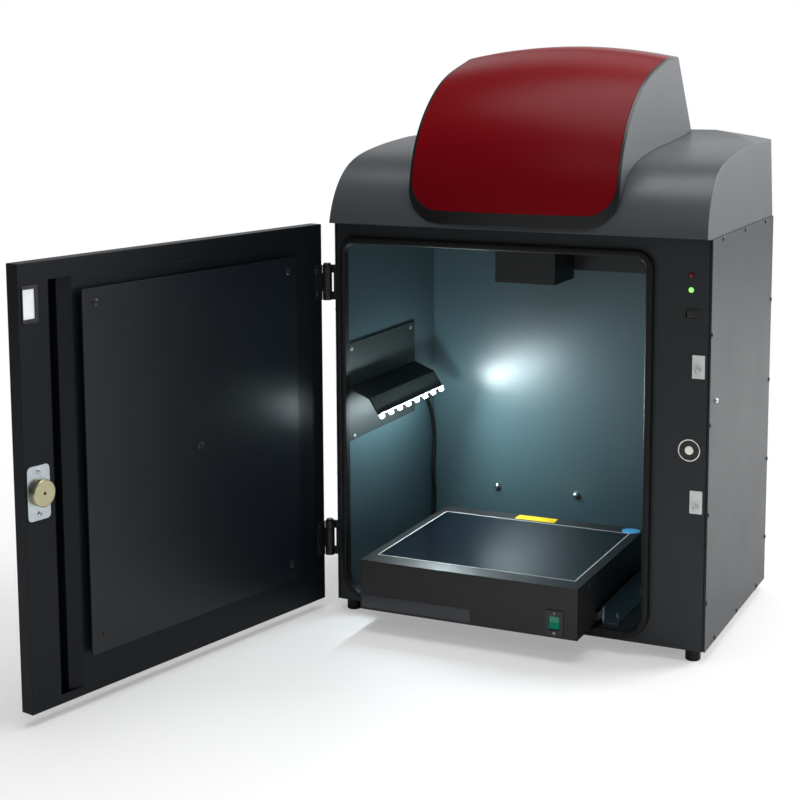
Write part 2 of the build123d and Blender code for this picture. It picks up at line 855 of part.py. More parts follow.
lamp_line = Plane(
    origin=home.from_local_coords((tip_x + lamp_back.X * bracket_sheet / 2,
                                   bracket_front + bracket_length / 2,
                                   tip_z + lamp_back.Z * bracket_sheet / 2)),
    x_dir=(0, 1, 0),
    z_dir=lamp_aim,
)
with BuildPart(home) as led_board:
    with BuildSketch(lamp_line):
        Rectangle(bracket_length - 2 * bracket_sheet, 2 * led_radius)
    extrude(amount=board_thick)
led_board.part.label = "led_board"

with BuildPart(home) as leds:
    with BuildSketch(lamp_line.offset(board_thick)):
        with GridLocations(led_pitch, 0, led_count, 1):
            Circle(led_radius)
    extrude(amount=led_length)
    fillet(leds.faces().filter_by(GeomType.PLANE).edges().group_by(Axis.Z)[0], led_radius / 2)
leds.part.label = "leds"

# Cable of the lamp board, clipped down the chamber's back left corner
cable_x = chamber_left + cable_radius + cable_wall_gap
cable_back = chamber_back - cable_radius - 1
cable_route = [
    (cable_x, bracket_front + bracket_length, bracket_bottom + 18),
    (cable_x, bracket_front + bracket_length + 34, bracket_bottom + 18),
    (cable_x, cable_back - 10, bracket_bottom - 12),
    (cable_x, cable_back - 1, bracket_bottom - 52),
    (cable_x, cable_back - 8, bracket_bottom - 96),
    (cable_x, cable_back - 2, bracket_bottom - 134),
    (cable_x, cable_back - 7, bracket_bottom - 166),
    (cable_x, cable_back - 7, pan_top),
]


def route_radii(points):
    """The largest arcs that the runs of a route leave room for."""
    radii = []
    for a, b, c in zip(points, points[1:], points[2:]):
        one, two = Vector(*b) - Vector(*a), Vector(*c) - Vector(*b)
        turn = math.radians(one.get_angle(two))
        radii.append(0.45 * min(one.length, two.length) / math.tan(turn / 2))
    return radii


with BuildPart(home) as led_cable:
    world_route = [home.from_local_coords(point) for point in cable_route]
    with BuildLine() as cable_line:
        FilletPolyline(*world_route, radius=route_radii(cable_route))
    with BuildSketch(Plane(origin=cable_line.line @ 0, z_dir=cable_line.line % 0)):
        Circle(cable_radius)
    sweep(path=cable_line.line)
led_cable.part.label = "led_cable"

# Lamp case: the drawer with the ultraviolet lamps, seen through its filter glass
with BuildPart(tray_home) as lamp_case:
    block(case_left, case_right, case_front, case_back, case_bottom, lid_bottom)
    block(case_left + case_sheet, case_right - case_sheet, case_front + case_sheet,
          case_back - case_sheet, case_bottom + case_sheet, lid_bottom, Mode.SUBTRACT)
    block(tray_switch_x - tray_rocker_width / 2 - rocker_rim,
          tray_switch_x + tray_rocker_width / 2 + rocker_rim, case_front,
          case_front + case_sheet, tray_switch_z - tray_rocker_height / 2 - rocker_rim,
          tray_switch_z + tray_rocker_height / 2 + rocker_rim, Mode.SUBTRACT)
lamp_case.part.label = "lamp_case"

window_x0 = case_left + glass_left
window_x1 = case_right - glass_right
window_y0 = case_front + glass_front
window_y1 = case_back - glass_back
with BuildPart(tray_home) as lamp_case_lid:
    block(case_left, case_right, case_front, case_back, lid_bottom, case_top)
    fillet(lamp_case_lid.edges().filter_by(Axis.Z), case_sheet)
    block(window_x0, window_x1, window_y0, window_y1, case_top - glass_thick, case_top,
          Mode.SUBTRACT)
    block(window_x0 + glass_ledge, window_x1 - glass_ledge, window_y0 + glass_ledge,
          window_y1 - glass_ledge, lid_bottom, case_top, Mode.SUBTRACT)
lamp_case_lid.part.label = "lamp_case_lid"

with BuildPart(tray_home) as filter_glass:
    block(window_x0 + glass_gap, window_x1 - glass_gap, window_y0 + glass_gap,
          window_y1 - glass_gap, case_top - glass_thick, case_top)
filter_glass.part.label = "filter_glass"

lamp_z = case_bottom + uv_lamp_rise
lamp_row = case_left + case_width / 2 - uv_lamp_pitch * (uv_lamp_count - 1) / 2
with BuildPart(tray_home) as uv_lamps:
    for lamp in range(uv_lamp_count):
        x = lamp_row + lamp * uv_lamp_pitch
        rod("y", (x, case_front + case_sheet, lamp_z), uv_lamp_radius,
            case_depth - 2 * case_sheet)
        for y in (case_front + case_sheet, case_back - case_sheet - socket_size):
            block(x - socket_size / 2, x + socket_size / 2, y, y + socket_size,
                  case_bottom + case_sheet, lamp_z)
uv_lamps.part.label = "uv_lamps"

with BuildPart(tray_home) as lamp_ballast:
    block(lamp_row, lamp_row + 4 * uv_lamp_pitch, case_front + case_depth / 2 - 2 * socket_size,
          case_front + case_depth / 2 + 2 * socket_size, case_bottom + case_sheet,
          lamp_z - uv_lamp_radius - glass_gap)
lamp_ballast.part.label = "lamp_ballast"

# Slides on the case and the rails on the chamber's floor
slide_z = case_bottom + slide_rise
with BuildPart(tray_home) as tray_slides:
    for x in (case_left - slide_thick, case_right):
        block(x, x + slide_thick, case_front + slide_lead, case_back, slide_z,
              slide_z + slide_height)
tray_slides.part.label = "tray_slides"

with BuildPart(home) as fixed_rails:
    left_web = case_left - slide_thick - slide_gap - rail_web
    rail_back = chamber_back - rail_back_gap
    right_web = case_right + slide_thick + slide_gap
    for web, foot in ((left_web, left_web + rail_web - rail_foot), (right_web, right_web)):
        block(web, web + rail_web, rail_front, rail_back, pan_top,
              pan_top + rail_height)
        block(foot, foot + rail_foot, rail_front, rail_back, pan_top,
              pan_top + rail_web)
        for share in (0.12, 0.5, 0.88):
            bolt_y = rail_front + share * (rail_back - rail_front)
            cone("z", (foot + rail_foot / 2, bolt_y, pan_top + rail_web),
                 rail_bolt_radius, rail_bolt_radius - head_taper, rail_bolt_head)
fixed_rails.part.label = "fixed_rails"


def rocker_profile(base, pivot, half, across):
    """A rocker's section, dished in front, already tilted to one side about its pivot."""
    tilt = math.radians(rocker_tilt)
    corners = [(-half, -rocker_reach), (0, rocker_dish - rocker_reach), (half, -rocker_reach),
               (half, 0), (half / 2, rocker_tail), (-half / 2, rocker_tail), (-half, 0)]
    turned = []
    for along, depth in corners:
        a = along * math.cos(tilt) - depth * math.sin(tilt)
        d = along * math.sin(tilt) + depth * math.cos(tilt)
        turned.append((pivot[0] + a, pivot[1] + d) if across == "z" else (pivot[1] + d, pivot[0] + a))
    with BuildSketch(base) as profile:
        with BuildLine():
            Polyline(*turned, close=True)
        make_face()
    return profile.sketch


# Power switch on the front panel: its rocker tips from side to side
power_pivot_y = rocker_pivot_depth
power_half_width = power_switch_width / 2 - rocker_rim - rocker_swing_room
power_half_height = power_switch_height / 2 - rocker_rim - rocker_clearance
with BuildPart(home) as power_switch_frame:
    half_w, half_h = power_switch_width / 2, power_switch_height / 2
    block(power_switch_x - half_w, power_switch_x + half_w, -bezel_proud, 0,
          power_switch_z - half_h, power_switch_z + half_h)
    block(power_switch_x - half_w + rocker_rim / 2, power_switch_x + half_w - rocker_rim / 2,
          0, switch_depth, power_switch_z - half_h + rocker_rim / 2,
          power_switch_z + half_h - rocker_rim / 2)
    block(power_switch_x - half_w + rocker_rim, power_switch_x + half_w - rocker_rim,
          -bezel_proud, switch_depth - rocker_rim, power_switch_z - half_h + rocker_rim,
          power_switch_z + half_h - rocker_rim, Mode.SUBTRACT)
    rod("z", (power_switch_x, power_pivot_y, power_switch_z - half_h + rocker_rim - rocker_shaft_end),
        rocker_shaft_radius + rocker_shaft_clearance,
        power_switch_height - 2 * rocker_rim + 2 * rocker_shaft_end, Mode.SUBTRACT)
power_switch_frame.part.label = "power_switch_frame"

with BuildPart(home) as power_switch_rocker:
    section = rocker_profile(plan(home, power_switch_z - power_half_height),
                             (power_switch_x, power_pivot_y), power_half_width, "z")
    extrude(section, amount=2 * power_half_height)
    shaft = power_half_height + rocker_clearance + rocker_shaft_end - rocker_clearance / 2
    rod("z", (power_switch_x, power_pivot_y, power_switch_z - shaft), rocker_shaft_radius, 2 * shaft)
power_switch_rocker.part.label = "power_switch_rocker"

# Lamp switch on the front of the lamp case: its rocker tips up and down
tray_pivot_y = case_front + rocker_pivot_depth
tray_half_height = tray_rocker_height / 2 - rocker_swing_room
tray_half_width = tray_rocker_width / 2 - rocker_clearance
with BuildPart(tray_home) as tray_switch_frame:
    half_w, half_h = tray_switch_width / 2, tray_switch_height / 2
    hole_w, hole_h = tray_rocker_width / 2, tray_rocker_height / 2
    block(tray_switch_x - half_w, tray_switch_x + half_w, case_front - bezel_proud, case_front,
          tray_switch_z - half_h, tray_switch_z + half_h)
    block(tray_switch_x - hole_w - rocker_rim, tray_switch_x + hole_w + rocker_rim, case_front,
          case_front + switch_depth, tray_switch_z - hole_h - rocker_rim,
          tray_switch_z + hole_h + rocker_rim)
    block(tray_switch_x - hole_w, tray_switch_x + hole_w, case_front - bezel_proud,
          case_front + switch_depth - rocker_rim, tray_switch_z - hole_h, tray_switch_z + hole_h,
          Mode.SUBTRACT)
    rod("x", (tray_switch_x - hole_w - rocker_shaft_end, tray_pivot_y, tray_switch_z),
        rocker_shaft_radius + rocker_shaft_clearance, 2 * (hole_w + rocker_shaft_end),
        Mode.SUBTRACT)
tray_switch_frame.part.label = "tray_switch_frame"

with BuildPart(tray_home) as tray_switch_rocker:
    section = rocker_profile(side(tray_home, tray_switch_x - tray_half_width),
                             (tray_switch_z, tray_pivot_y), tray_half_height, "x")
    extrude(section, amount=2 * tray_half_width)
    shaft = tray_half_width + rocker_clearance + rocker_shaft_end - rocker_clearance / 2
    rod("x", (tray_switch_x - shaft, tray_pivot_y, tray_switch_z), rocker_shaft_radius, 2 * shaft)
tray_switch_rocker.part.label = "tray_switch_rocker"

# Signal lamps, magnet and safety switches in the front panel
with BuildPart(home) as indicator_lamps:
    for x, z in ((red_lamp_x, red_lamp_z), (green_lamp_x, green_lamp_z)):
        rod("y", (x, -lamp_proud, z), lamp_radius, lamp_proud + lamp_depth)
    fillet(indicator_lamps.faces().group_by(Axis.Y)[0].edges(), lamp_radius * 0.7)
indicator_lamps.part.label = "indicator_lamps"

with BuildPart(home) as catch_magnet:
    rod("y", (latch_x, -magnet_proud, latch_z), magnet_radius, magnet_proud + magnet_depth)
    rod("y", (latch_x, -magnet_proud, latch_z), magnet_radius - magnet_rim, magnet_recess,
        Mode.SUBTRACT)
    rod("y", (latch_x, -magnet_proud, latch_z), magnet_core_radius, magnet_recess)
catch_magnet.part.label = "catch_magnet"

peg_places = [(interlock_high_z, high_peg_drop), (interlock_low_z, low_peg_drop)]
with BuildPart(home) as interlock_switches:
    for z, drop in peg_places:
        left, right = interlock_x - interlock_width / 2, interlock_x + interlock_width / 2
        block(left, right, -interlock_sheet, 0, z - interlock_height / 2, z + interlock_height / 2)
        rod("y", (interlock_x, 0, z - drop), peg_radius + shell_clearance, body_sheet)
        block(left, right - body_sheet, body_sheet, body_sheet + interlock_depth,
              z - interlock_height / 2, z + interlock_height / 2)
        rod("y", (interlock_x, -interlock_sheet, z - drop), peg_radius + peg_clearance,
            interlock_sheet + peg_tail + peg_travel + body_sheet, Mode.SUBTRACT)
interlock_switches.part.label = "interlock_switches"


def add_peg(z):
    """A spring peg with a domed tip, standing out of the front panel."""
    rod("y", (interlock_x, -peg_proud, z), peg_radius, peg_proud + peg_tail)


with BuildPart(home) as upper_interlock_peg:
    add_peg(interlock_high_z - high_peg_drop)
    fillet(upper_interlock_peg.faces().sort_by(Axis.Y)[0].edges(), peg_radius * 0.7)
upper_interlock_peg.part.label = "upper_interlock_peg"

with BuildPart(home) as lower_interlock_peg:
    add_peg(interlock_low_z - low_peg_drop)
    fillet(lower_interlock_peg.faces().sort_by(Axis.Y)[0].edges(), peg_radius * 0.7)
lower_interlock_peg.part.label = "lower_interlock_peg"

# Door panel: a pan that is open towards the chamber, with its edges turned in
with BuildPart(door_home) as door_panel:
    block(door_left, door_right, door_outer, door_inner, 0, door_height)
    block(door_left + door_sheet, door_right - door_sheet, door_outer + door_sheet,
          door_inner - door_sheet, door_sheet, door_height - door_sheet, Mode.SUBTRACT)
    block(door_left + door_hinge_strip, free_strip_left, door_inner - door_sheet, door_inner,
          door_bottom_strip, door_height - door_top_strip, Mode.SUBTRACT)
    block(free_strip_left, free_strip_left + door_sheet, door_outer + door_sheet, door_inner,
          door_sheet, door_height - door_sheet)
    block(window_left, window_right - door_sheet, door_outer, door_inner, window_bottom,
          window_top, Mode.SUBTRACT)
door_panel.part.label = "door_panel"

# Door liner: the inner sheet, that slopes down into the finger groove
liner_left = door_left + door_hinge_strip
slope_left = groove_left - door_slope
with BuildPart(door_home) as door_liner:
    with BuildSketch(plan(door_home, door_bottom_strip)):
        with BuildLine():
            Polyline(
                (liner_left, door_inner),
                (slope_left, door_inner),
                (groove_left, door_inner - door_slope_drop),
                (groove_left, door_outer + door_sheet),
                (groove_left - door_sheet, door_outer + door_sheet),
                (groove_left - door_sheet, door_inner - door_slope_drop - door_sheet),
                (slope_left, door_inner - door_sheet),
                (liner_left, door_inner - door_sheet),
                close=True,
            )
        make_face()
    extrude(amount=door_height - door_top_strip - door_bottom_strip)
door_liner.part.label = "door_liner"

baffle_left = liner_left + baffle_left_margin
baffle_right = slope_left - baffle_right_margin
baffle_top = door_height - baffle_top_margin
with BuildPart(door_home) as door_baffle:
    block(baffle_left, baffle_right, baffle_face - baffle_sheet, baffle_face, baffle_bottom,
          baffle_top)
    fillet(door_baffle.edges().group_by(SortBy.LENGTH)[0], baffle_corner)
door_baffle.part.label = "door_baffle"

baffle_screws = [
    (baffle_left + baffle_screw_edge, baffle_bottom + baffle_screw_low),
    (baffle_left + baffle_screw_edge, baffle_top - baffle_screw_high),
    (baffle_right - baffle_screw_edge - case_sheet * 3, baffle_bottom + baffle_screw_low),
    (baffle_right - baffle_screw_edge - case_sheet * 3, baffle_top - baffle_screw_high),
    ((baffle_left + baffle_right) / 2, (baffle_bottom + baffle_top) / 2),
]
with BuildPart(door_home) as baffle_fixings:
    for x, z in baffle_screws:
        rod("y", (x, door_inner, z), spacer_radius, spacer_length)
        cone("y", (x, baffle_face, z), baffle_head_radius, baffle_head_radius - head_taper,
             baffle_head)
baffle_fixings.part.label = "baffle_fixings"

# Window in the free strip: a rim, a tube through the door, and a pane
tube_right = window_right - door_sheet
with BuildPart(door_home) as window_frame:
    block(window_left - window_rim, tube_right, door_inner, door_inner + window_rim_proud,
          window_bottom - window_rim, window_top + window_rim)
    block(window_left, tube_right, door_outer, door_inner, window_bottom, window_top)
    block(window_left + window_tube, tube_right - window_tube, door_outer,
          door_inner + window_rim_proud, window_bottom + window_tube, window_top - window_tube,
          Mode.SUBTRACT)
window_frame.part.label = "window_frame"

with BuildPart(door_home) as window_pane:
    pane_edge = window_tube + pane_clearance
    pane_y = door_outer + door_thick / 2
    block(window_left + pane_edge, tube_right - pane_edge, pane_y, pane_y + pane_thick,
          window_bottom + pane_edge, window_top - pane_edge)
window_pane.part.label = "window_pane"

# Latch plate with its disc, that the magnet holds
latch_left = latch_x + latch_plate_offset - latch_plate_width / 2
plate_face = door_inner + latch_plate_sheet
with BuildPart(door_home) as latch_plate:
    with BuildSketch(front(door_home, plate_face)):
        with Locations((latch_x + latch_plate_offset, latch_z)):
            RectangleRounded(latch_plate_width, latch_plate_height, latch_plate_corner)
    extrude(amount=latch_plate_sheet)
latch_plate.part.label = "latch_plate"

with BuildPart(door_home) as latch_disc:
    rod("y", (latch_x, plate_face, latch_z), latch_disc_radius, latch_disc_height)
    chamfer(latch_disc.edges().filter_by(GeomType.CIRCLE), head_taper)
    rod("y", (latch_x, plate_face, latch_z), latch_disc_hole, latch_disc_height, Mode.SUBTRACT)
latch_disc.part.label = "latch_disc"

# Hinges: two leaves each, on one pin
hinge_places = [hinge_low_z, hinge_high_z]
middle_knuckle = hinge_length - 2 * hinge_end_knuckle - 2 * hinge_gap
bore = hinge_pin_radius + hinge_pin_clearance
leaf_start = pin_x + math.sqrt((hinge_knuckle_radius + hinge_gap) ** 2 - (
    door_gap + pin_y - hinge_sheet) ** 2)
with BuildPart(home) as hinge_frame_leaves:
    for z in hinge_places:
        low = z - hinge_length / 2
        block(-hinge_sheet, 0, hinge_knuckle_radius + pin_y - hinge_sheet,
              hinge_knuckle_radius + pin_y + hinge_frame_leaf, low, low + hinge_length)
        for start in (low, low + hinge_length - hinge_end_knuckle):
            block(pin_x, 0, pin_y + hinge_knuckle_radius - hinge_sheet,
                  pin_y + hinge_knuckle_radius, start, start + hinge_end_knuckle)
            rod("z", (pin_x, pin_y, start), hinge_knuckle_radius, hinge_end_knuckle)
            rod("z", (pin_x, pin_y, start), bore, hinge_end_knuckle, Mode.SUBTRACT)
hinge_frame_leaves.part.label = "hinge_frame_leaves"

with BuildPart(door_home) as hinge_door_leaves:
    for z in hinge_places:
        low = z - hinge_length / 2
        block(leaf_start, door_left + hinge_door_leaf, door_inner, door_inner + hinge_sheet,
              low, low + hinge_length)
        block(pin_x, leaf_start, door_inner, door_inner + hinge_sheet, z - middle_knuckle / 2,
              z + middle_knuckle / 2)
        rod("z", (pin_x, pin_y, z - middle_knuckle / 2), hinge_knuckle_radius, middle_knuckle)
        rod("z", (pin_x, pin_y, z - middle_knuckle / 2), bore, middle_knuckle, Mode.SUBTRACT)
hinge_door_leaves.part.label = "hinge_door_leaves"

with BuildPart(home) as hinge_pins:
    for z in hinge_places:
        low = z - hinge_length / 2
        rod("z", (pin_x, pin_y, low), hinge_pin_radius, hinge_length)
        cone("z", (pin_x, pin_y, low + hinge_length), hinge_pin_head, hinge_pin_head - head_taper,
             hinge_sheet)
hinge_pins.part.label = "hinge_pins"

with BuildPart(door_home) as door_screws:
    for z in (latch_z - latch_screw_spacing / 2, latch_z + latch_screw_spacing / 2):
        cone("y", (latch_x + latch_plate_offset, plate_face, z), side_head_radius,
             side_head_radius - head_taper, side_head)
    for centre in hinge_places:
        for z in (centre - hinge_screw_spacing / 2, centre + hinge_screw_spacing / 2):
            cone("y", (door_left + hinge_door_leaf - side_head_radius - head_taper / 2,
                       door_inner + hinge_sheet, z), side_head_radius,
                 side_head_radius - head_taper, side_head)
door_screws.part.label = "door_screws"

# Screws round the side panels and on the hinge leaves, clear of the hinges on the left
row_y = [panel_row_first + n * panel_row_pitch for n in range(3)]
column_z = [panel_column_first + n * panel_column_pitch for n in range(4)]
panel_back_y = cabinet_depth - panel_edge_inset
panel_top_screw_z = cabinet_height - panel_top_screw_drop
edge_screws = [(y, z) for y in row_y for z in (panel_low_screw_z, panel_top_screw_z)]
edge_screws += [(panel_back_y, z) for z in column_z]
leaf_screw_y = pin_y + hinge_knuckle_radius + hinge_frame_leaf / 2


def add_left_screw(x, y, z):
    """A screw head on the left side, from the surface at x."""
    with Locations(Location((x, y, z), (0, -90, 0))):
        Cone(side_head_radius, side_head_radius - head_taper, side_head,
             align=(Align.CENTER, Align.CENTER, Align.MIN))


with BuildPart(home) as panel_screws:
    for y, z in edge_screws + [(panel_edge_inset, z) for z in column_z]:
        cone("x", (cabinet_width, y, z), side_head_radius, side_head_radius - head_taper, side_head)
    for y, z in edge_screws + [(panel_edge_inset, z) for z in column_z[1:]]:
        add_left_screw(0, y, z)
    for centre in hinge_places:
        for z in (centre - hinge_screw_spacing / 2, centre + hinge_screw_spacing / 2):
            add_left_screw(-hinge_sheet, leaf_screw_y, z)
panel_screws.part.label = "panel_screws"

# Bright fasteners: dome nuts on the back wall, bracket screws and the stud on the side panel
with BuildPart(home) as bright_fasteners:
    nut_x = chamber_left + nut_left_room
    for x in (nut_x, nut_x + nut_spacing):
        rod("y", (x, chamber_back - nut_height, nut_z), nut_radius, nut_height)
    fillet(bright_fasteners.faces().group_by(Axis.Y)[0].edges(), nut_radius * 0.6)
    for y, z in (
        (bracket_front + 2 * stud_radius, bracket_bottom + bracket_height - 2 * stud_radius),
        (bracket_front + bracket_length - 4 * stud_radius,
         bracket_bottom + bracket_height - 2 * stud_radius),
        (bracket_front + 4 * stud_radius, bracket_bottom + stud_radius),
    ):
        cone("x", (flap_x, y, z), stud_radius, stud_radius - head_taper, side_head)
    cone("x", (cabinet_width, stud_y, stud_z), stud_radius, stud_radius - 2 * head_taper,
         stud_height)
bright_fasteners.part.label = "bright_fasteners"

pieces = [
    base_pan, front_panel, left_side_panel, right_side_panel, back_panel, top_deck,
    chamber_left_wall, chamber_right_wall, chamber_back_wall, chamber_ceiling, door_gasket, feet,
    hood_shell, red_cover, cover_trim, dome_shell, camera_body, camera_bracket, lens_barrel,
    zoom_ring, focus_ring, filter_box, emission_filter, ceiling_baffle, power_supply, power_inlet,
    led_bracket, led_board, leds, led_cable, lamp_case, lamp_case_lid, filter_glass, uv_lamps,
    lamp_ballast, tray_slides, fixed_rails, power_switch_frame, power_switch_rocker,
    tray_switch_frame, tray_switch_rocker, indicator_lamps, catch_magnet, interlock_switches,
    upper_interlock_peg, lower_interlock_peg, door_panel, door_liner, door_baffle, baffle_fixings,
    window_frame, window_pane, latch_plate, latch_disc, hinge_frame_leaves, hinge_door_leaves,
    hinge_pins, door_screws, panel_screws, bright_fasteners,
]
for piece in pieces:
    export_step(piece.part, f"parts/{piece.part.label}.step")

print("origin in the measuring frame:", round(middle_x, 3), round(middle_y, 3), -foot_height)
print("cable arcs:", [round(radius, 1) for radius in route_radii(cable_route)])
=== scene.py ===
"""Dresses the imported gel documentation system: finishes, fine pieces, light and camera.

Places, meshes and lights are in metres. The sizes that finishes and classes hold are in millimetres, unless
their docstring says otherwise.
"""
from __future__ import annotations

import json
import logging
import math
from abc import ABC, abstractmethod
from collections.abc import Sequence
from dataclasses import dataclass, field
from enum import Enum

import bmesh
import bpy
from mathutils import Matrix, Vector

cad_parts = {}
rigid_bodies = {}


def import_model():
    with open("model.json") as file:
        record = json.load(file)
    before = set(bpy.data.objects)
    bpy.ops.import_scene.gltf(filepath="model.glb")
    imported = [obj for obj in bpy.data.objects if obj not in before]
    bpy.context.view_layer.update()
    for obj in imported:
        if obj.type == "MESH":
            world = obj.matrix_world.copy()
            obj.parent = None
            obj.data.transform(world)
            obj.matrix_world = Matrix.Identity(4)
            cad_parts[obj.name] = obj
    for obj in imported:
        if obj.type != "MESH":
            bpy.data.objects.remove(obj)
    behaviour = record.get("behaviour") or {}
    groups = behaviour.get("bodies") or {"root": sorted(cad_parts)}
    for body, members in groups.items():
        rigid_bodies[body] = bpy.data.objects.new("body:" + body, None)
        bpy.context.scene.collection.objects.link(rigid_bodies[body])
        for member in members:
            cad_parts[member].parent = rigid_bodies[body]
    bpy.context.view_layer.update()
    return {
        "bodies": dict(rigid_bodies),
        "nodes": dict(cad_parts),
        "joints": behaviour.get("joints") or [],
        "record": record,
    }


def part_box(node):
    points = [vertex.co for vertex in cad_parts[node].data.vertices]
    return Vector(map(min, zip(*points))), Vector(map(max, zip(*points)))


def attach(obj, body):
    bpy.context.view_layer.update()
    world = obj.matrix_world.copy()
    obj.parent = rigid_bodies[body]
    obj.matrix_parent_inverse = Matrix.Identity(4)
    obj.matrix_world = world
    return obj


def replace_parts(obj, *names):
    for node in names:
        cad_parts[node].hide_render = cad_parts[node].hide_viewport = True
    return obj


LOG = logging.getLogger("gel_documentation_system")
MM = 0.001
WELD = 0.001 * MM
FULL_TURN = 2 * math.pi
SMOOTH_ANGLE = math.radians(35)
EDGE_SAMPLES = 4
BLOCK_EDGE_STEPS = 2
END_SHARE = 0.1
GRAIN_DEPTH = 0.4 * MM
CLOUDS_PER_METRE = 14.0
BLOTCHES_PER_METRE = 90.0
STREAKS_PER_METRE = (900.0, 900.0, 60.0)
STREAK_DEPTH = 0.2 * MM
STREAK_STRENGTH = 0.1
STREAK_SWING = 0.08
PLATED_EDGE = 0.5 * MM
# Turns a form that is built on +Z so that it looks to the front.
FACING_FRONT = Matrix.Rotation(math.radians(90), 4, "X")
Point = tuple[float, float, float]
Colour = tuple[float, float, float]


class Body(Enum):
    """The moving bodies that fine pieces ride on."""

    CABINET = "cabinet"
    DOOR = "door"
    TRAY = "tray"


class Recess(Enum):
    """What a screwdriver finds in a screw's head, with its number of arms or corners."""

    CROSS = 4
    HEX = 6
    NONE = 0


def feed(tree: bpy.types.NodeTree, source: bpy.types.NodeSocket | float,
         target: bpy.types.NodeSocket) -> None:
    """Links an input to another socket, or gives it a plain number.

    Args:
        tree: The node tree.
        source: The socket or the number.
        target: The input.
    """
    if isinstance(source, bpy.types.NodeSocket):
        tree.links.new(source, target)
    else:
        target.default_value = source


def set_inputs(node: bpy.types.Node, values: dict[str, float | Colour]) -> None:
    """Sets a node's inputs.

    Args:
        node: The node.
        values: A number or a colour for each input's name.
    """
    for label, value in values.items():
        node.inputs[label].default_value = (*value, 1.0) if isinstance(value, tuple) else value


def calculate(tree: bpy.types.NodeTree, operation: str, first: bpy.types.NodeSocket | float,
              second: bpy.types.NodeSocket | float, clamp: bool = False) -> bpy.types.NodeSocket:
    """Adds a sum, product or the like of two values.

    Args:
        tree: The node tree.
        operation: The Math node's operation.
        first: The first value.
        second: The second value.
        clamp: Whether the result stays between 0 and 1.

    Returns:
        The result.
    """
    node = tree.nodes.new("ShaderNodeMath")
    node.operation = operation
    node.use_clamp = clamp
    feed(tree, first, node.inputs[0])
    feed(tree, second, node.inputs[1])
    return node.outputs[0]


def map_range(tree: bpy.types.NodeTree, value: bpy.types.NodeSocket, to: tuple[float, float],
              start: float = 0.0, end: float = 1.0, smooth: bool = False) -> bpy.types.NodeSocket:
    """Maps one range of values to another.

    Args:
        tree: The node tree.
        value: The value.
        to: What the start and the end of its range become.
        start: The start of its range.
        end: The end of its range.
        smooth: Whether the change starts and ends gently.

    Returns:
        The mapped value.
    """
    node = tree.nodes.new("ShaderNodeMapRange")
    if smooth:
        node.interpolation_type = "SMOOTHSTEP"
    set_inputs(node, {"From Min": start, "From Max": end, "To Min": to[0], "To Max": to[1]})
    tree.links.new(value, node.inputs["Value"])
    return node.outputs["Result"]


def add_noise(tree: bpy.types.NodeTree, place: bpy.types.NodeSocket,
              scale: bpy.types.NodeSocket | float, detail: float = 2.0) -> bpy.types.NodeSocket:
    """Adds a noise texture.

    Args:
        tree: The node tree.
        place: The coordinates it follows.
        scale: Its scale.
        detail: How many finer layers it has.

    Returns:
        The noise, between 0 and 1.
    """
    node = tree.nodes.new("ShaderNodeTexNoise")
    node.inputs["Detail"].default_value = detail
    tree.links.new(place, node.inputs["Vector"])
    feed(tree, scale, node.inputs["Scale"])
    return node.outputs["Fac"]


def raise_grain(tree: bpy.types.NodeTree, height: bpy.types.NodeSocket,
                strength: bpy.types.NodeSocket | float, distance: float,
                radius: bpy.types.NodeSocket | float) -> bpy.types.NodeSocket:
    """Rounds the edges of a surface and raises a grain on it.

    Args:
        tree: The node tree.
        height: The grain.
        strength: How strongly it shows.
        distance: How high it is, in metres.
        radius: The radius of the edges, in metres.

    Returns:
        The normal.
    """
    edge = tree.nodes.new("ShaderNodeBevel")
    edge.samples = EDGE_SAMPLES
    feed(tree, radius, edge.inputs["Radius"])
    bump = tree.nodes.new("ShaderNodeBump")
    bump.inputs["Distance"].default_value = distance
    feed(tree, strength, bump.inputs["Strength"])
    tree.links.new(height, bump.inputs["Height"])
    tree.links.new(edge.outputs["Normal"], bump.inputs["Normal"])
    return bump.outputs["Normal"]


def surface_group(name: str, inputs: Sequence[tuple[str, str, float | tuple[float, ...]]]
                  ) -> bpy.types.NodeTree:
    """Starts a shader node group that puts out a colour, a roughness and a normal.

    Args:
        name: The group's name.
        inputs: Name, socket type and default of each input.

    Returns:
        The new group, with its input and output nodes named "in" and "out".
    """
    group = bpy.data.node_groups.new(name, "ShaderNodeTree")
    for label, kind, default in inputs:
        socket = group.interface.new_socket(label, in_out="INPUT", socket_type=kind)
        socket.default_value = default
    for label, kind in (("Colour", "NodeSocketColor"), ("Roughness", "NodeSocketFloat"),
                        ("Normal", "NodeSocketVector")):
        group.interface.new_socket(label, in_out="OUTPUT", socket_type=kind)
    group.nodes.new("NodeGroupInput").name = "in"
    group.nodes.new("NodeGroupOutput").name = "out"
    return group


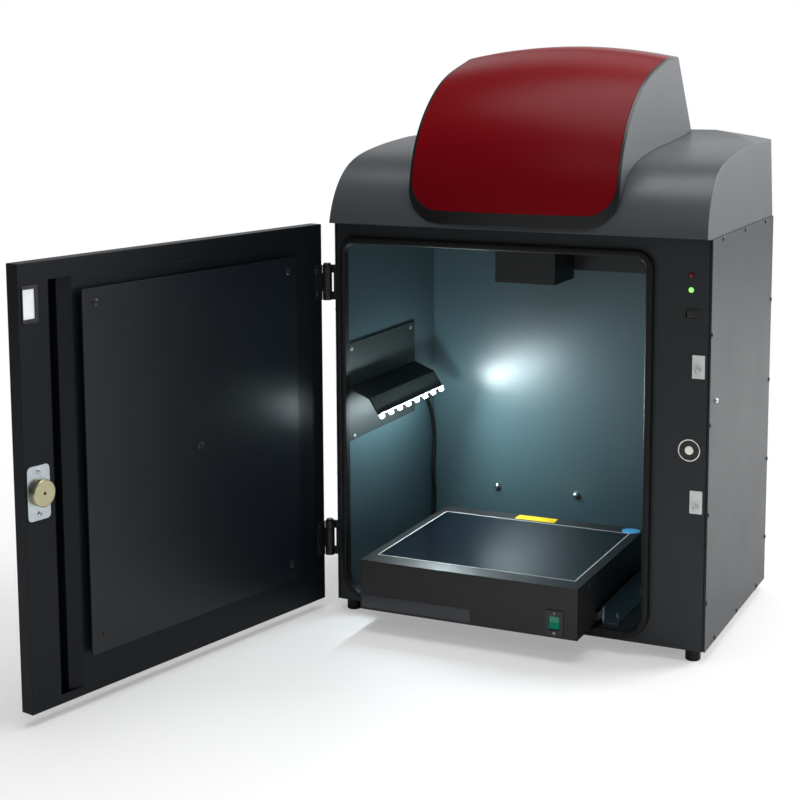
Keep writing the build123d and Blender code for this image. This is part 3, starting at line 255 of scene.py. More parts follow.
def grain_group() -> bpy.types.NodeTree:
    """Builds the fine grain of powder coat, moulded plastic and cast lenses.

    Returns:
        A group that puts out a colour, a roughness and a normal that vary over the surface.
    """
    existing = bpy.data.node_groups.get("surface grain")
    if existing:
        return existing
    group = surface_group("surface grain", [
        ("Colour", "NodeSocketColor", (0.1, 0.1, 0.1, 1.0)),
        ("Roughness", "NodeSocketFloat", 0.5),
        ("Grain per metre", "NodeSocketFloat", 900.0),
        ("Grain height", "NodeSocketFloat", 0.1),
        ("Tone variation", "NodeSocketFloat", 0.05),
        ("Edge radius", "NodeSocketFloat", 0.0008)])
    start, end = group.nodes["in"].outputs, group.nodes["out"].inputs
    place = group.nodes.new("ShaderNodeTexCoord").outputs["Object"]
    fine = add_noise(group, place, start["Grain per metre"], detail=3.0)
    normal = raise_grain(group, fine, start["Grain height"], GRAIN_DEPTH, start["Edge radius"])
    group.links.new(normal, end["Normal"])
    cloud = add_noise(group, place, CLOUDS_PER_METRE, detail=4.0)
    centred = calculate(group, "SUBTRACT", cloud, 0.5)
    swing = calculate(group, "MULTIPLY", centred, start["Tone variation"])
    roughness = calculate(group, "ADD", start["Roughness"], swing, clamp=True)
    group.links.new(roughness, end["Roughness"])
    tone = group.nodes.new("ShaderNodeMix")
    tone.data_type = "RGBA"
    tone.blend_type = "MULTIPLY"
    tone.inputs["Factor"].default_value = 1.0
    group.links.new(start["Colour"], tone.inputs["A"])
    group.links.new(calculate(group, "ADD", swing, 1.0), tone.inputs["B"])
    group.links.new(tone.outputs["Result"], end["Colour"])
    return group


def plated_group() -> bpy.types.NodeTree:
    """Builds the streaks and blotches of plated sheet metal.

    Returns:
        A group that puts out a colour, a roughness and a normal that vary over the surface.
    """
    existing = bpy.data.node_groups.get("plated metal")
    if existing:
        return existing
    group = surface_group("plated metal", [
        ("Colour", "NodeSocketColor", (0.6, 0.6, 0.6, 1.0)),
        ("Stain", "NodeSocketColor", (0.5, 0.5, 0.5, 1.0)),
        ("Roughness", "NodeSocketFloat", 0.3)])
    start, end = group.nodes["in"].outputs, group.nodes["out"].inputs
    place = group.nodes.new("ShaderNodeTexCoord").outputs["Object"]
    stretch = group.nodes.new("ShaderNodeMapping")
    stretch.inputs["Scale"].default_value = STREAKS_PER_METRE
    group.links.new(place, stretch.inputs["Vector"])
    streak = add_noise(group, stretch.outputs["Vector"], 1.0)
    blotch = add_noise(group, place, BLOTCHES_PER_METRE)
    mix = group.nodes.new("ShaderNodeMix")
    mix.data_type = "RGBA"
    group.links.new(blotch, mix.inputs["Factor"])
    group.links.new(start["Colour"], mix.inputs["A"])
    group.links.new(start["Stain"], mix.inputs["B"])
    group.links.new(mix.outputs["Result"], end["Colour"])
    swing = map_range(group, streak, (-STREAK_SWING, STREAK_SWING))
    group.links.new(calculate(group, "ADD", swing, start["Roughness"]), end["Roughness"])
    normal = raise_grain(group, streak, STREAK_STRENGTH, STREAK_DEPTH, PLATED_EDGE)
    group.links.new(normal, end["Normal"])
    return group


@dataclass(frozen=True)
class Surface(ABC):
    """A finish: one material whose colour, roughness and normal come from a node group."""

    name: str
    colour: Colour

    def material(self) -> bpy.types.Material:
        """Finds the material, or builds it the first time."""
        return bpy.data.materials.get(self.name) or self.build()

    def build(self) -> bpy.types.Material:
        """Builds the material.

        Returns:
            The new material.
        """
        material = bpy.data.materials.new(self.name)
        material.use_nodes = True
        nodes, links = material.node_tree.nodes, material.node_tree.links
        shader = nodes["Principled BSDF"]
        set_inputs(shader, self.shader_values())
        effect = nodes.new("ShaderNodeGroup")
        effect.node_tree = self.effect_group()
        set_inputs(effect, self.effect_values())
        links.new(effect.outputs["Colour"], shader.inputs["Base Color"])
        links.new(effect.outputs["Roughness"], shader.inputs["Roughness"])
        links.new(effect.outputs["Normal"], shader.inputs["Normal"])
        return material

    @abstractmethod
    def effect_group(self) -> bpy.types.NodeTree:
        """The node group that varies the finish over the surface."""

    @abstractmethod
    def effect_values(self) -> dict[str, float | Colour]:
        """The values of the node group's inputs."""

    @abstractmethod
    def shader_values(self) -> dict[str, float | Colour]:
        """The values that are the same all over the surface."""


@dataclass(frozen=True)
class Finish(Surface):
    """A painted, moulded or rubber surface."""

    roughness: float = 0.45
    grain_scale: float = 900.0
    grain_height: float = 0.12
    variation: float = 0.06
    edge_radius: float = 0.8
    specular: float = 0.5

    def effect_group(self) -> bpy.types.NodeTree:
        """The fine grain."""
        return grain_group()

    def effect_values(self) -> dict[str, float | Colour]:
        """The grain's colour, roughness, fineness, height, tones and edges."""
        return {"Colour": self.colour, "Roughness": self.roughness,
                "Grain per metre": self.grain_scale, "Grain height": self.grain_height,
                "Tone variation": self.variation, "Edge radius": self.edge_radius * MM}

    def shader_values(self) -> dict[str, float | Colour]:
        """How strongly the paint or plastic mirrors."""
        return {"Specular IOR Level": self.specular}


@dataclass(frozen=True)
class Plating(Surface):
    """A bare or plated metal surface."""

    stain: Colour
    roughness: float

    def effect_group(self) -> bpy.types.NodeTree:
        """The streaks and blotches."""
        return plated_group()

    def effect_values(self) -> dict[str, float | Colour]:
        """The metal's colour, its stain and its roughness."""
        return {"Colour": self.colour, "Stain": self.stain, "Roughness": self.roughness}

    def shader_values(self) -> dict[str, float | Colour]:
        """Metal all over."""
        return {"Metallic": 1.0}


@dataclass(frozen=True)
class ClearSheet(Surface):
    """A glossy sheet, pane or lens, opaque or clear, that may glow: lamps with their own light, the window
    pane with painted light.
    """

    alpha: float = 1.0
    roughness: float = 0.05
    glow: float = 0.0
    grain: float = 0.02
    variation: float = 0.02
    edge_radius: float = 0.4

    def effect_group(self) -> bpy.types.NodeTree:
        """The faint grain of a cast sheet."""
        return grain_group()

    def effect_values(self) -> dict[str, float | Colour]:
        """The sheet's colour, roughness, grain, tones and edges."""
        return {"Colour": self.colour, "Roughness": self.roughness, "Grain height": self.grain,
                "Tone variation": self.variation, "Edge radius": self.edge_radius * MM}

    def shader_values(self) -> dict[str, float | Colour]:
        """How clear the sheet is, and how it glows in its own colour."""
        return {"Alpha": self.alpha, "Emission Color": self.colour, "Emission Strength": self.glow}


CHARCOAL = Finish("charcoal powder coat", (0.018, 0.022, 0.025), roughness=0.44, grain_scale=1100.0,
                  grain_height=0.22, variation=0.1, edge_radius=0.9, specular=0.3)
HOOD_PAINT = Finish("hood paint", (0.062, 0.070, 0.079), roughness=0.38, grain_scale=1100.0,
                    grain_height=0.12, variation=0.08, edge_radius=2.4, specular=0.45)
LINER_PAINT = Finish("textured liner paint", (0.041, 0.071, 0.081), roughness=0.30,
                     grain_scale=520.0, grain_height=0.5, variation=0.03, edge_radius=0.8,
                     specular=0.48)
DOOR_PAINT = Finish("door powder coat", (0.006, 0.008, 0.011), roughness=0.4, grain_scale=1100.0,
                    grain_height=0.25, variation=0.05, edge_radius=0.9, specular=0.16)
BAFFLE_PAINT = Finish("baffle paint", (0.006, 0.008, 0.012), roughness=0.30, grain_scale=620.0,
                      grain_height=0.5, variation=0.04, edge_radius=0.6, specular=0.3)
CASE_PAINT = Finish("lamp case paint", (0.017, 0.016, 0.017), roughness=0.38, grain_scale=900.0,
                    grain_height=0.2, variation=0.1, edge_radius=0.8, specular=0.3)
BRACKET_PAINT = Finish("lamp bracket paint", (0.018, 0.023, 0.023), roughness=0.45,
                       grain_scale=700.0, grain_height=0.25, variation=0.05, edge_radius=0.5,
                       specular=0.25)
BLACK_PAINT = Finish("black paint", (0.008, 0.008, 0.009), roughness=0.45, grain_scale=900.0,
                     grain_height=0.20, variation=0.10, edge_radius=0.5)
BLACK_PLASTIC = Finish("black moulded plastic", (0.010, 0.010, 0.011), roughness=0.40,
                       grain_scale=1400.0, grain_height=0.15, variation=0.05, edge_radius=0.4)
TRIM_BLACK = Finish("black trim", (0.006, 0.006, 0.007), roughness=0.35, grain_scale=1400.0,
                    grain_height=0.05, variation=0.05, edge_radius=0.6)
RUBBER = Finish("black rubber", (0.007, 0.007, 0.008), roughness=0.48, grain_scale=800.0,
                grain_height=0.10, variation=0.12, edge_radius=0.5, specular=0.22)
RED = Finish("deep red cover", (0.182, 0.0008, 0.0042), roughness=0.36, grain_scale=1200.0,
             grain_height=0.05, variation=0.03, edge_radius=1.0, specular=0.10)
NAME_PLATE = Finish("bare name plate", (0.040, 0.042, 0.050), roughness=0.50, grain_scale=1400.0,
                    grain_height=0.03, variation=0.04, edge_radius=0.2)
PALE_PLASTIC = Finish("pale grey plastic", (0.72, 0.74, 0.74), roughness=0.40, grain_scale=1400.0,
                      grain_height=0.08, variation=0.04, edge_radius=0.5)
PEG_PLASTIC = Finish("peg plastic", (0.55, 0.56, 0.55), roughness=0.35, grain_scale=1400.0,
                     grain_height=0.05, variation=0.04, edge_radius=0.3)
BOARD_WHITE = Finish("white lamp board", (0.70, 0.71, 0.69), roughness=0.45, grain_scale=900.0,
                     grain_height=0.05, variation=0.04, edge_radius=0.3)
YELLOW = Finish("yellow label", (0.86, 0.58, 0.01), roughness=0.42, grain_scale=700.0,
                grain_height=0.05, variation=0.04, edge_radius=0.1)
BLUE = Finish("blue sticker", (0.09, 0.38, 0.72), roughness=0.38, grain_scale=700.0,
              grain_height=0.05, variation=0.04, edge_radius=0.1)
WHITE_INK = Finish("white marking", (0.65, 0.66, 0.66), roughness=0.50, grain_scale=900.0,
                   grain_height=0.02, variation=0.02, edge_radius=0.05)
PINSTRIPE = Finish("light trim line", (0.52, 0.50, 0.49), roughness=0.35, grain_scale=900.0,
                   grain_height=0.03, variation=0.03, edge_radius=0.2)

ZINC = Plating("bright zinc", (0.62, 0.63, 0.64), stain=(0.50, 0.52, 0.54), roughness=0.28)
BLUE_ZINC = Plating("bluish zinc", (0.34, 0.40, 0.44), stain=(0.26, 0.31, 0.35), roughness=0.34)
PALE_ZINC = Plating("pale zinc", (0.52, 0.57, 0.60), stain=(0.42, 0.47, 0.50), roughness=0.32)
YELLOW_ZINC = Plating("yellow zinc", (0.44, 0.38, 0.21), stain=(0.40, 0.40, 0.28), roughness=0.30)
SILVER = Plating("cream silver", (0.78, 0.76, 0.68), stain=(0.70, 0.69, 0.63), roughness=0.22)
BLACK_STEEL = Plating("blackened steel", (0.06, 0.06, 0.065), stain=(0.04, 0.04, 0.045),
                      roughness=0.35)
ALUMINIUM = Plating("bare aluminium", (0.60, 0.61, 0.62), stain=(0.54, 0.55, 0.56), roughness=0.38)

FILTER_GLASS = ClearSheet("ultraviolet filter glass", (0.003, 0.004, 0.007), roughness=0.10,
                          grain=0.35)
# The window pane glows though it is no lamp: painted light that keeps it bright in the door's recess.
PAINTED_GLOW_PANE = ClearSheet("milky window pane with painted glow", (0.62, 0.64, 0.65), roughness=0.2, glow=0.45)
AMBER = ClearSheet("amber filter", (0.55, 0.20, 0.02), alpha=0.7)
LAMP_GLASS = ClearSheet("dark lamp glass", (0.03, 0.02, 0.08), roughness=0.1)
LIT_WHITE = ClearSheet("lit white lamp", (0.92, 0.97, 1.0), roughness=0.2, glow=9.0)
RED_LENS = ClearSheet("unlit red lens", (0.16, 0.004, 0.006), roughness=0.12)
GREEN_LENS = ClearSheet("lit green lens", (0.25, 0.85, 0.16), roughness=0.15, glow=1.1)
SWITCH_LENS = ClearSheet("green switch lens", (0.002, 0.15, 0.09), roughness=0.15, glow=0.25)

NODE_FINISHES: dict[str, Surface] = {
    "base_pan": CHARCOAL, "front_panel": CHARCOAL, "left_side_panel": CHARCOAL,
    "right_side_panel": CHARCOAL, "back_panel": CHARCOAL, "top_deck": CHARCOAL,
    "chamber_left_wall": LINER_PAINT, "chamber_right_wall": LINER_PAINT,
    "chamber_back_wall": LINER_PAINT, "chamber_ceiling": LINER_PAINT,
    "door_gasket": RUBBER, "feet": RUBBER, "panel_screws": BLACK_STEEL,
    "bright_fasteners": ZINC, "catch_magnet": SILVER, "interlock_switches": PALE_PLASTIC,
    "upper_interlock_peg": PEG_PLASTIC, "lower_interlock_peg": PEG_PLASTIC,
    "indicator_lamps": GREEN_LENS, "power_switch_frame": BLACK_PLASTIC,
    "power_switch_rocker": BLACK_PLASTIC, "hinge_frame_leaves": BLACK_PAINT,
    "hinge_door_leaves": BLACK_PAINT, "hinge_pins": BLACK_STEEL, "hood_shell": HOOD_PAINT,
    # cover_trim's black is partly a real dark trim and partly painted shade: its wide band along the bottom
    # stands for the shaded underside of the dome.
    "dome_shell": HOOD_PAINT, "cover_trim": TRIM_BLACK, "red_cover": RED,
    "camera_body": BLACK_PAINT, "camera_bracket": ALUMINIUM, "lens_barrel": BLACK_PAINT,
    "zoom_ring": BLACK_PLASTIC, "focus_ring": BLACK_PLASTIC, "filter_box": BLACK_PAINT,
    "emission_filter": AMBER, "ceiling_baffle": BLACK_PAINT, "power_supply": ALUMINIUM,
    "power_inlet": BLACK_PLASTIC, "led_bracket": BRACKET_PAINT, "led_board": BOARD_WHITE,
    "leds": LIT_WHITE, "led_cable": RUBBER, "lamp_case": CASE_PAINT,
    "lamp_case_lid": CASE_PAINT, "filter_glass": FILTER_GLASS, "uv_lamps": LAMP_GLASS,
    "lamp_ballast": ALUMINIUM, "tray_switch_frame": BLACK_PLASTIC,
    "tray_switch_rocker": SWITCH_LENS, "tray_slides": BLACK_STEEL, "fixed_rails": BLUE_ZINC,
    "door_panel": DOOR_PAINT, "door_liner": DOOR_PAINT, "door_baffle": BAFFLE_PAINT,
    "baffle_fixings": BLACK_STEEL, "door_screws": ZINC, "window_frame": BLACK_PLASTIC,
    "window_pane": PAINTED_GLOW_PANE, "latch_plate": PALE_ZINC, "latch_disc": YELLOW_ZINC,
}


def dress(obj: bpy.types.Object, finish: Surface) -> None:
    """Gives an object one finish all over, and sharp edges where its faces turn far enough.

    Args:
        obj: The object to dress.
        finish: The finish it gets.
    """
    obj.data.materials.clear()
    obj.data.materials.append(finish.material())
    obj.data.set_sharp_from_angle(angle=SMOOTH_ANGLE)


def dress_nodes(nodes: dict[str, bpy.types.Object]) -> None:
    """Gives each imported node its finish.

    Args:
        nodes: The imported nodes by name.
    """
    for name, finish in NODE_FINISHES.items():
        dress(nodes[name], finish)


def new_piece(name: str, mesh: bmesh.types.BMesh, finish: Surface, body: Body) -> bpy.types.Object:
    """Turns a finished mesh into a dressed piece that rides on a body.

    Args:
        name: The piece's name.
        mesh: The mesh, in the part's frame, which is freed.
        finish: The finish it gets.
        body: The body it rides on.

    Returns:
        The new object.
    """
    bmesh.ops.recalc_face_normals(mesh, faces=mesh.faces)
    data = bpy.data.meshes.new(name)
    mesh.to_mesh(data)
    mesh.free()
    obj = bpy.data.objects.new(name, data)
    bpy.context.scene.collection.objects.link(obj)
    for polygon in data.polygons:
        polygon.use_smooth = True
    dress(obj, finish)
    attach(obj, body.value)
    LOG.info("%s on %s", name, body.value)
    return obj


def corners(node: str) -> tuple[Vector, Vector]:
    """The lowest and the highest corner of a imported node's box."""
    low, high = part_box(node)
    return Vector(low), Vector(high)


def islands(node: bpy.types.Object) -> list[list[Vector]]:
    """Splits a node's mesh into its separate solids.

    Args:
        node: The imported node.

    Returns:
        The points of each solid, in the part's frame, from the lowest solid up.
    """
    mesh = bmesh.new()
    mesh.from_mesh(node.data)
    bmesh.ops.remove_doubles(mesh, verts=mesh.verts, dist=WELD)
    left = set(mesh.verts)
    found = []
    while left:
        queue = [left.pop()]
        points = []
        while queue:
            vertex = queue.pop()
            points.append(node.matrix_world @ vertex.co)
            for edge in vertex.link_edges:
                other = edge.other_vert(vertex)
                if other in left:
                    left.remove(other)
                    queue.append(other)
        found.append(points)
    mesh.free()
    return sorted(found, key=rank)


def rank(solid: Sequence[Vector]) -> tuple[float, float, float]:
    """Puts solids in order by height, then by depth, then by width."""
    middle = middle_of(solid)
    return round(middle.z, 4), middle.y, middle.x


def middle_of(points: Sequence[Vector]) -> Vector:
    """Finds the middle of the box round some points.

    Args:
        points: The points.

    Returns:
        The middle.
    """
    low = Vector([min(p[i] for p in points) for i in range(3)])
    high = Vector([max(p[i] for p in points) for i in range(3)])
    return (low + high) / 2


def widest_face_normal(node: bpy.types.Object) -> Vector:
    """The normal of a node's largest face."""
    face = max(node.data.polygons, key=lambda polygon: polygon.area)
    return (node.matrix_world.to_3x3() @ face.normal).normalized()


@dataclass(frozen=True)
class Turning:
    """A round solid: its foot, its outward axis, its radius and its height, in metres."""

    foot: Vector
    axis: Vector
    radius: float
    height: float

    def placed(self) -> Matrix:
        """The transform from a form built on +Z to the solid's place."""
        turn = self.axis.to_track_quat("Z", "Y").to_matrix().to_4x4()
        return Matrix.Translation(self.foot) @ turn


def read_turning(points: Sequence[Vector], axis: Vector | None = None) -> Turning:
    """Measures a round solid, whose narrower end points outwards.

    Args:
        points: The solid's points.
        axis: The line of its axis, found from its box when not given.

    Returns:
        The solid's place and size.
    """
    if axis is None:
        spans = [max(p[i] for p in points) - min(p[i] for p in points) for i in range(3)]
        odd = min(range(3), key=lambda i: abs(spans[(i + 1) % 3] - spans[(i + 2) % 3]))
        axis = Vector([1.0 if i == odd else 0.0 for i in range(3)])
    middle = middle_of(points)
    along = [(p - middle).dot(axis) for p in points]
    low, high = min(along), max(along)
    radii = [((p - middle) - axis * a).length for p, a in zip(points, along)]
    end = END_SHARE * (high - low)
    near_low = max(r for r, a in zip(radii, along) if a < low + end)
    near_high = max(r for r, a in zip(radii, along) if a > high - end)
    if near_low >= near_high:
        return Turning(middle + axis * low, axis, max(radii), high - low)
    return Turning(middle + axis * high, -axis, max(radii), high - low)


def scaled(profile: Sequence[tuple[float, float]], radius: float,
           height: float) -> list[tuple[float, float]]:
    """Gives a profile its real size.

    Args:
        profile: Radius and height of each ring, as shares of the form's own.
        radius: The form's radius.
        height: The form's height.

    Returns:
        The profile in metres.
    """
    return [(across * radius, up * height) for across, up in profile]


def neighbours(ring: list[bmesh.types.BMVert]) -> list[tuple[bmesh.types.BMVert, bmesh.types.BMVert]]:
    """The pairs of points that follow each other round a ring."""
    return list(zip(ring, ring[1:] + ring[:1]))


def add_ring(mesh: bmesh.types.BMesh, place: Matrix, radius: float, height: float,
             sides: int) -> list[bmesh.types.BMVert]:
    """Adds a ring of points round +Z.

    Args:
        mesh: The mesh that grows.
        place: The transform from +Z to the ring's place.
        radius: The ring's radius.
        height: The ring's height.
        sides: How many points it has.

    Returns:
        The points in order.
    """
    turns = [FULL_TURN * n / sides for n in range(sides)]
    return [mesh.verts.new(place @ Vector((radius * math.cos(turn), radius * math.sin(turn), height)))
            for turn in turns]


def join_rings(mesh: bmesh.types.BMesh, first: list[bmesh.types.BMVert],
               second: list[bmesh.types.BMVert]) -> None:
    """Adds the faces between two rings that have as many points.

    Args:
        mesh: The mesh that grows.
        first: The first ring's points.
        second: The second ring's points.
    """
    for (a, b), (c, d) in zip(neighbours(first), neighbours(second)):
        mesh.faces.new((a, b, d, c))


def add_lathe(mesh: bmesh.types.BMesh, profile: Sequence[tuple[float, float]], place: Matrix,
              sides: int, closed_top: bool = True) -> list[bmesh.types.BMVert]:
    """Adds a turned form to a mesh.

    Args:
        mesh: The mesh that grows.
        profile: Radius and height of each ring, from the foot up.
        place: The transform from +Z to the form's place.
        sides: How many sides a ring has.
        closed_top: Whether the last ring gets a flat face.

    Returns:
        The points of the last ring.
    """
    rings = [add_ring(mesh, place, radius, height, sides) for radius, height in profile]
    for low, high in zip(rings, rings[1:]):
        join_rings(mesh, low, high)
    mesh.faces.new(list(reversed(rings[0])))
    if closed_top:
        mesh.faces.new(rings[-1])
    return rings[-1]


def add_ring_plate(mesh: bmesh.types.BMesh, place: Matrix, inner: float, outer: float,
                   thick: float, sides: int) -> None:
    """Adds a flat ring.

    Args:
        mesh: The mesh that grows.
        place: The transform from +Z to the ring's place.
        inner: Its inner radius.
        outer: Its outer radius.
        thick: Its thickness.
        sides: How many sides it has.
    """
    section = [(inner, 0.0), (outer, 0.0), (outer, thick), (inner, thick)]
    rings = [add_ring(mesh, place, radius, height, sides) for radius, height in section]
    for first, second in zip(rings, rings[1:] + rings[:1]):
        join_rings(mesh, first, second)


def add_block(mesh: bmesh.types.BMesh, low: Sequence[float], high: Sequence[float],
              edge: float = 0.0) -> None:
    """Adds a box between two corners, with its edges rounded.

    Args:
        mesh: The mesh that grows.
        low: The lowest corner.
        high: The highest corner.
        edge: The radius of its edges.
    """
    made = bmesh.ops.create_cube(mesh, size=1.0)["verts"]
    size = Vector(high) - Vector(low)
    middle = (Vector(high) + Vector(low)) / 2
    for vertex in made:
        vertex.co = Vector(c * s for c, s in zip(vertex.co, size)) + middle
    if edge:
        edges = list(dict.fromkeys(e for v in made for e in v.link_edges))
        bmesh.ops.bevel(mesh, geom=edges, offset=edge, segments=BLOCK_EDGE_STEPS, affect="EDGES",
                        profile=0.5)


@dataclass(frozen=True)
class ScrewHead:
    """A low domed screw head with a driver's recess, in shares of its own radius and height."""

    solid: Turning
    recess: Recess
    profile: tuple[tuple[float, float], ...] = (
        (1.0, 0.0), (1.0, 0.22), (0.96, 0.45), (0.86, 0.72), (0.72, 0.92), (0.6, 1.0))
    crown: tuple[float, float] = (0.3, 1.05)
    recess_reach: float = 0.48
    recess_taper: float = 0.7
    recess_floor: float = 0.35
    arm_width: float = 0.24
    sides: int = 28

    def add_to(self, mesh: bmesh.types.BMesh) -> None:
        """Adds the head to a mesh.

        Args:
            mesh: The mesh that grows.
        """
        place, top = self.solid.placed(), self.solid.height
        profile = scaled(self.profile, self.solid.radius, top)
        if self.recess is Recess.NONE:
            crown = scaled([self.crown], self.solid.radius, top)
            add_lathe(mesh, profile + crown, place, self.sides)
            return
        rim = add_lathe(mesh, profile, place, self.sides, closed_top=False)
        floor, taper, outline = self.recess_floor * top, self.recess_taper, self.outline()
        upper = [mesh.verts.new(place @ Vector((x, y, top))) for x, y in outline]
        lower = [mesh.verts.new(place @ Vector((taper * x, taper * y, floor))) for x, y in outline]
        edges = [mesh.edges.new(pair) for pair in neighbours(upper)]
        edges += [mesh.edges.get(pair) for pair in neighbours(rim)]
        bmesh.ops.triangle_fill(mesh, edges=edges, use_beauty=True)
        join_rings(mesh, upper, lower)
        mesh.faces.new(lower)

    def outline(self) -> list[tuple[float, float]]:
        """Works out the recess's outline.

        Returns:
            The outline's points, in order.
        """
        reach = self.recess_reach * self.solid.radius
        turns = [FULL_TURN * n / self.recess.value for n in range(self.recess.value)]
        if self.recess is Recess.HEX:
            return [(reach * math.cos(turn), reach * math.sin(turn)) for turn in turns]
        half = self.arm_width * reach
        arm = [(reach, -half), (reach, half), (half, half)]
        return [(x * math.cos(turn) - y * math.sin(turn), x * math.sin(turn) + y * math.cos(turn))
                for turn in turns for x, y in arm]


@dataclass(frozen=True)
class DomeNut:
    """A six-sided nut with a domed cap, in shares of its own radius and height."""

    solid: Turning
    hexagon: tuple[tuple[float, float], ...] = ((1.0, 0.0), (1.0, 0.42), (0.9, 0.48))
    cap_radius: float = 0.78
    cap_foot: float = 0.48
    cap_steps: int = 6
    flats: int = 6
    sides: int = 28

    def add_to(self, mesh: bmesh.types.BMesh) -> None:
        """Adds the nut to a mesh.

        Args:
            mesh: The mesh that grows.
        """
        place, radius, height = self.solid.placed(), self.solid.radius, self.solid.height
        add_lathe(mesh, scaled(self.hexagon, radius, height), place, self.flats)
        turns = [math.radians(90 * n / self.cap_steps) for n in range(self.cap_steps)]
        cap = [(self.cap_radius * math.cos(turn),
                self.cap_foot + (1 - self.cap_foot) * math.sin(turn)) for turn in turns]
        add_lathe(mesh, scaled(cap, radius, height), place, self.sides)


@dataclass
class Fasteners:
    """The screws, spacers, dome nuts and the stud, with their driver recesses."""

    nodes: dict[str, bpy.types.Object]
    stud_height: float = 2.0
    spacer_height_share: float = 0.75
    spacer_profile: tuple[tuple[float, float], ...] = (
        (0.9, 0.0), (1.0, 0.08), (1.0, 0.92), (0.9, 1.0))
    spacer_sides: int = 24

    def build(self) -> None:
        """Makes every group of fasteners in place of its plain node."""
        door_axis = widest_face_normal(self.nodes["door_baffle"])
        self.make_group("panel_screws", Body.CABINET, BLACK_STEEL, Recess.CROSS, None)
        self.make_group("baffle_fixings", Body.DOOR, TRIM_BLACK, Recess.HEX, door_axis)
        self.make_door_screws(door_axis)
        self.make_bright()

    def make_group(self, node: str, body: Body, finish: Surface, recess: Recess,
                   axis: Vector | None) -> None:
        """Makes the screws of one node, and its spacers, which are the taller solids.

        Args:
            node: The node's name.
            body: The body they ride on.
            finish: Their finish.
            recess: The screws' recess.
            axis: The line of their axes, when it isn't an axis of the part.
        """
        mesh = bmesh.new()
        for points in islands(self.nodes[node]):
            solid = read_turning(points, axis)
            if solid.height > self.spacer_height_share * solid.radius:
                profile = scaled(self.spacer_profile, solid.radius, solid.height)
                add_lathe(mesh, profile, solid.placed(), self.spacer_sides)
            else:
                ScrewHead(solid, recess).add_to(mesh)
        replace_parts(new_piece(f"{node}_turned", mesh, finish, body), node)

    def make_door_screws(self, axis: Vector) -> None:
        """Makes the bright screws of the latch plate and the dark ones of the hinges.

        Args:
            axis: The line of their axes.
        """
        plate_low, plate_high = corners("latch_plate")
        latch_mesh, hinge_mesh = bmesh.new(), bmesh.new()
        for points in islands(self.nodes["door_screws"]):
            solid = read_turning(points, axis)
            on_latch = plate_low.z < solid.foot.z < plate_high.z
            ScrewHead(solid, Recess.CROSS).add_to(latch_mesh if on_latch else hinge_mesh)
        latch_screws = new_piece("latch_screws", latch_mesh, ZINC, Body.DOOR)
        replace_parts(latch_screws, "door_screws")
        new_piece("hinge_screws", hinge_mesh, BLACK_STEEL, Body.DOOR)

    def make_bright(self) -> None:
        """Makes the dome nuts, the bracket's screws and the stud."""
        mesh = bmesh.new()
        for points in islands(self.nodes["bright_fasteners"]):
            solid = read_turning(points)
            if abs(solid.axis.y) > 0.5:
                DomeNut(solid).add_to(mesh)
            elif solid.height > self.stud_height * MM:
                ScrewHead(solid, Recess.NONE).add_to(mesh)
            else:
                ScrewHead(solid, Recess.CROSS).add_to(mesh)
        piece = new_piece("bright_fasteners_turned", mesh, ZINC, Body.CABINET)
        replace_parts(piece, "bright_fasteners")


@dataclass
class FrontControls:
    """The signal lenses, with their tip's step in degrees, and the dark ring of the magnet."""

    nodes: dict[str, bpy.types.Object]
    lens_steps: int = 8
    lens_step: float = 12.0
    lens_sides: int = 32
    magnet_ring_inner: float = 5.2
    magnet_ring_outer: float = 11.6
    magnet_ring_depth: float = 0.95
    magnet_ring_sides: int = 48

    def build(self) -> None:
        """Makes the two lenses and the magnet's ring."""
        places = [read_turning(points) for points in islands(self.nodes["indicator_lamps"])]
        lower, upper = sorted(places, key=lambda solid: solid.foot.z)
        green_lens = self.make_lens("green_lens", lower, GREEN_LENS)
        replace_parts(green_lens, "indicator_lamps")
        self.make_lens("red_lens", upper, RED_LENS)
        self.make_magnet_ring()

    def make_lens(self, name: str, solid: Turning, finish: Surface) -> bpy.types.Object:
        """Makes one signal lens with a round tip.

        Args:
            name: The piece's name.
            solid: The lens in its node.
            finish: Its finish.

        Returns:
            The piece.
        """
        mesh = bmesh.new()
        r, h = solid.radius, solid.height
        turns = [math.radians(self.lens_step * n) for n in range(self.lens_steps)]
        tip = [(r * math.cos(turn), h - r + r * math.sin(turn)) for turn in turns]
        add_lathe(mesh, [(r, 0.0)] + tip, solid.placed(), self.lens_sides)
        return new_piece(name, mesh, finish, Body.CABINET)

    def make_magnet_ring(self) -> None:
        """Makes the dark ring between the magnet's rim and its core."""
        low, high = corners("catch_magnet")
        middle = (low + high) / 2
        face = Vector((middle.x, low.y + self.magnet_ring_depth * MM, middle.z))
        mesh = bmesh.new()
        add_ring_plate(mesh, Matrix.Translation(face) @ FACING_FRONT, self.magnet_ring_inner * MM,
                       self.magnet_ring_outer * MM, 0.5 * self.magnet_ring_depth * MM,
                       self.magnet_ring_sides)
        new_piece("magnet_dark_ring", mesh, TRIM_BLACK, Body.CABINET)


